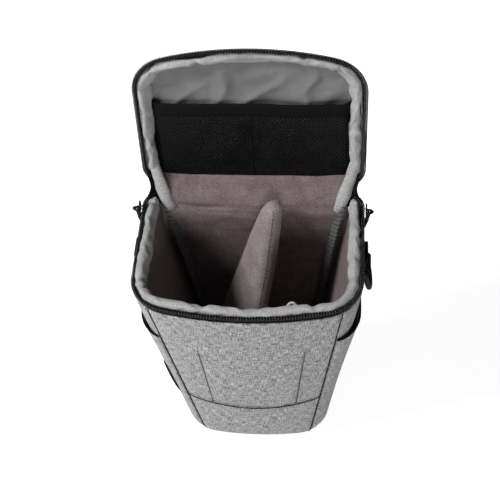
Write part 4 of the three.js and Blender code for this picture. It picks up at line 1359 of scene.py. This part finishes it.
def strap_ring(side, sign):
    """A D of wire that hangs from its straight bar and leans out a little."""
    bar = Vector(JOINTS[f"{side}_ring_swing"]["pos_m"])
    wire = 0.0021
    half = 0.0098 + wire
    bend = 0.0032
    drop = 0.021

    def arc(y, z, radius, start, end, count):
        for i in range(count + 1):
            turn = math.radians(mix(start, end, i / count))
            hang = z + radius * math.sin(turn)
            yield bar + Vector((-0.2 * sign * hang, y + radius * math.cos(turn), hang))

    line = [
        *arc(half - bend, -bend, bend, 90, 0, 8),
        *arc(0, half - drop - wire, half, 0, -180, 28),
        *arc(bend - half, -bend, bend, 180, 90, 8),
    ]
    body = f"{side}_ring"
    nodes = [f"{side}_d_ring"]
    return tube(f"{body}_wire", [line], wire, "dark_metal", body, nodes, closed=True, roundness=5)


def ring_webbing(side, sign):
    """Webbing sewn to the panel, looped round the ring's bar."""
    taper = math.atan2(MOUTH_HALF - BASE_HALF, RIM_Z)
    top = RIM_Z - 0.012
    foot = Vector((section(top)[0], -0.002, top))
    lean = Matrix.Translation(foot) @ Matrix.Rotation(taper, 4, "Y")
    thick = 0.0021
    radius = 0.0027 + thick / 2
    eye = Vector((GAP + 0.0049, 0, -0.018))
    line = [Vector((GAP + thick / 2, 0, z)) for z in (0.0, -0.005, -0.010)]
    for i in range(15):
        turn = math.radians(180 + 270 * i / 14)
        line.append(eye + radius * Vector((math.cos(turn), 0, math.sin(turn))))
    line += [Vector((GAP + thick * 1.5 + 0.0001, 0, z)) for z in (-0.0115, -0.009, -0.005, 0.0)]
    flip = Matrix.Diagonal((sign, 1, 1, 1))
    points = [flip @ (lean @ p) for p in line]
    strap(f"{side}_ring_webbing", points, Vector((0, 1, 0)), 0.019, thick, "body", f"{side}_ring_tab")
    box = ((-0.007, -0.002), (0.007, -0.002), (0.007, -0.010), (-0.007, -0.010))
    corners = [flip @ (lean @ Vector((GAP + thick * 2, y, z))) for y, z in box]
    out = flip.to_3x3() @ (lean.to_3x3() @ Vector((1, 0, 0)))
    tube(f"{side}_ring_stitches", stitch_box(corners, out), 0.0003, "black_webbing", "body")


def side_tag():
    """A bare tab of black tape beside the left front seam."""
    low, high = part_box("left_side_tag")
    start = -beside(SIDE_SEAM, 0.0075)
    width = 0.007
    tall = high.z - low.z

    def point(u, v):
        lift = 0.0006 * hump(v / tall) + 0.0006 * (1 - u / width)
        depth = -0.0022 - lift + 0.5 * max(roll(v), roll(tall - v))
        return around(beside(start, u), depth, low.z - 0.004 + v)

    bm = cloth_grid(stops(width, 0.002), stops(tall, 0.003), point)
    return thicken(make("left_tag_tape", bm, "black_webbing", "body", ["left_side_tag"]), 0.0008)


def belt_loop():
    """Wide webbing on the back, sewn down above and below and standing off between."""
    near = BACK_Y + GAP + 0.0012
    points = [
        (0, 0.062), (0, 0.070), (0, 0.076), (0.008, 0.0856), (0.008, 0.115),
        (0.008, 0.1444), (0, 0.154), (0, 0.160), (0, 0.168),
    ]
    line = smooth_line([Vector((0, near + y, z)) for y, z in points], 0.004)
    strap("back_belt_strap", line, Vector((1, 0, 0)), 0.052, 0.0022, "body", "belt_loop")
    half = 0.023
    lines = []
    for low, high in ((0.0645, 0.0735), (0.1565, 0.1655)):
        box = ((-half, low), (half, low), (half, high), (-half, high))
        corners = [Vector((x, near + 0.0012, z)) for x, z in box]
        lines += stitch_box(corners, Vector((0, 1, 0)), crossed=False)
    tube("belt_strap_stitches", lines, 0.0003, "black_webbing", "body")


# Sliders


def slab(outline, near, far, edge):
    """A flat plate with rounded edges between two X, from an outline in the YZ plane."""
    bm = bmesh.new()
    bmesh.ops.create_circle(bm, cap_ends=True, segments=len(outline), radius=1.0)
    bm.verts.ensure_lookup_table()
    for vert, (y, z) in zip(bm.verts, outline):
        vert.co = (near, y, z)
    made = bmesh.ops.extrude_face_region(bm, geom=bm.faces[:])
    moved = [part for part in made["geom"] if isinstance(part, bmesh.types.BMVert)]
    bmesh.ops.translate(bm, verts=moved, vec=(far - near, 0, 0))
    bmesh.ops.recalc_face_normals(bm, faces=bm.faces)
    bevel(bm, [e for e in bm.edges if e.calc_face_angle() > math.radians(60)], edge)
    return bm


def slider(side, sign):
    """Two plates on a post, a crown of wire on the outer one, and the pull that hangs from it."""
    low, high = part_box(f"{side}_slider")
    crown = Vector(JOINTS[f"{side}_pull_swing"]["pos_m"])
    y = (low.y + high.y) / 2
    z = (low.z + high.z) / 2
    half_length = (high.y - low.y) / 2
    half_height = (high.z - low.z) / 2
    upper = [(1, 0.6), (0.9, 0.9), (0.5, 1), (-0.2, 0.7), (-1, 0.55)]
    edge = [(a, -b) for a, b in reversed(upper)] + upper
    shield = [(y + a * half_length, z + b * half_height) for a, b in edge]
    face = sign * (MOUTH_HALF + 0.0001)
    back = face - sign * 0.0056
    bm = slab(shield, face, face + sign * 0.0013, 0.0004)
    inner = slab(shield, back, back + sign * 0.0008, 0.0003)
    mesh = bpy.data.meshes.new("inner_plate")
    inner.to_mesh(mesh)
    inner.free()
    bm.from_mesh(mesh)
    bpy.data.meshes.remove(mesh)
    body = f"{side}_zip_slider"
    make(f"{side}_slider_plates", bm, "dark_metal", body, [f"{side}_slider"]).data.shade_flat()
    post = [Vector((back, y + 0.003, z)), Vector((face, y + 0.003, z))]
    tube(f"{side}_slider_post", [post], 0.00035, "dark_metal", body, roundness=3)
    foot = face + sign * 0.0008
    leg = [(foot, 0.0022), (mix(foot, crown.x, 0.6), 0.0021), (crown.x, 0.0014)]
    arch = [Vector((x, y - w, z)) for x, w in leg] + [Vector((x, y + w, z)) for x, w in reversed(leg)]
    tube(f"{side}_slider_crown", [smooth_line(arch, 0.0006)], 0.0009, "dark_metal", body, roundness=4)

    # Half the pull's outline: half widths in millimetres, and drops
    tab = [(1.0, 0.0022), (1.4, 0.0045), (3.5, 0.0075), (3.5, 0.0145), (3.1, 0.0158), (2.2, 0.0168)]
    outline = [(y + w * MM, z - d) for w, d in tab] + [(y - w * MM, z - d) for w, d in reversed(tab)]
    pull = slab(outline, crown.x - 0.0009, crown.x + 0.0009, 0.0004)
    for vert in pull.verts:
        vert.co.x += sign * 0.30 * (vert.co.z - z)
    body = f"{side}_pull"
    make(f"{side}_pull_tab", pull, "dark_metal", body, [f"{side}_slider_pull"]).data.shade_flat()
    turns = [2 * math.pi * i / 20 for i in range(20)]
    eye = [crown + 0.0019 * Vector((math.cos(a), 0, math.sin(a))) for a in turns]
    tube(f"{side}_pull_eye", [eye], 0.0008, "dark_metal", body, closed=True, roundness=3)


# Studio


def studio():
    """Two lamps over a pale floor. Floor and sky shine for the camera and add little light."""
    scene = bpy.context.scene
    scene.view_settings.view_transform = "Standard"
    scene.view_settings.look = "None"

    bm = bmesh.new()
    bmesh.ops.create_grid(bm, x_segments=1, y_segments=1, size=6.0)
    floor = as_object("studio_floor", bm)
    settings = {"Base Color": (0.9, 0.9, 0.9, 1), "Roughness": 1.0, "Specular IOR Level": 0.0}
    settings["Emission Color"] = (1, 1, 1, 1)
    material, tree, shade = shader("pale_floor", settings)
    seen = add(tree, "LightPath").outputs["Is Camera Ray"]
    tree.links.new(combine(tree, "MULTIPLY", seen, 0.8), shade.inputs["Emission Strength"])
    floor.data.materials.append(material)

    world = bpy.data.worlds.new("studio_air")
    scene.world = world
    world.use_nodes = True
    tree = world.node_tree
    background = tree.nodes["Background"]
    background.inputs["Color"].default_value = (1, 1, 1, 1)
    seen = add(tree, "LightPath").outputs["Is Camera Ray"]
    tree.links.new(combine(tree, "MAXIMUM", seen, 0.09), background.inputs["Strength"])

    for name, at, size, power in (
        ("key_light", (-1.15, -0.35, 1.45), 0.6, 26),
        ("front_light", (0.15, -1.9, 0.6), 0.9, 15),
    ):
        light = bpy.data.lights.new(name, "AREA")
        light.size = size
        light.energy = power
        lamp = bpy.data.objects.new(name, light)
        lamp.location = at
        aim = Vector((0, 0, 0.15)) - Vector(at)
        lamp.rotation_euler = aim.to_track_quat("-Z", "Y").to_euler()
        scene.collection.objects.link(lamp)


def camera():
    """A long lens above the front, a little to its right."""
    azimuth, elevation, tip = (math.radians(a) for a in (6.9, 51.7, 4.28))
    level = math.cos(elevation)
    back = Vector((math.sin(azimuth) * level, -math.cos(azimuth) * level, math.sin(elevation)))
    right = Vector((math.cos(azimuth), math.sin(azimuth), 0))
    up = back.cross(right)
    x_axis = math.cos(tip) * right - math.sin(tip) * up
    y_axis = math.sin(tip) * right + math.cos(tip) * up
    data = bpy.data.cameras.new("photo_camera")
    data.lens = 86.5
    data.sensor_width = 36
    data.shift_x = -0.0063
    data.shift_y = 0.1047
    eye = bpy.data.objects.new("photo_camera", data)
    turn = Matrix((x_axis, y_axis, back)).transposed().to_4x4()
    target = Vector((0, -0.013, 0.150))
    distance = 1.01
    eye.matrix_world = Matrix.Translation(target + distance * back) @ turn
    bpy.context.scene.collection.objects.link(eye)
    bpy.context.scene.camera = eye


body_shell()
body_inside()
rim_trim()
lid_shell()
lid_lining()
lid_mesh()
lid_foam()
foam_block("hinge_foam", "hinge_pad", "body")
foam_block("lid_hinge_foam", "lid_back_pad", "lid")
carry_handle()
hinge_velour()
hinge_back()
divider()
for side, sign in SIDES:
    strap_ring(side, sign)
    ring_webbing(side, sign)
    slider(side, sign)
side_tag()
belt_loop()
studio()
camera()
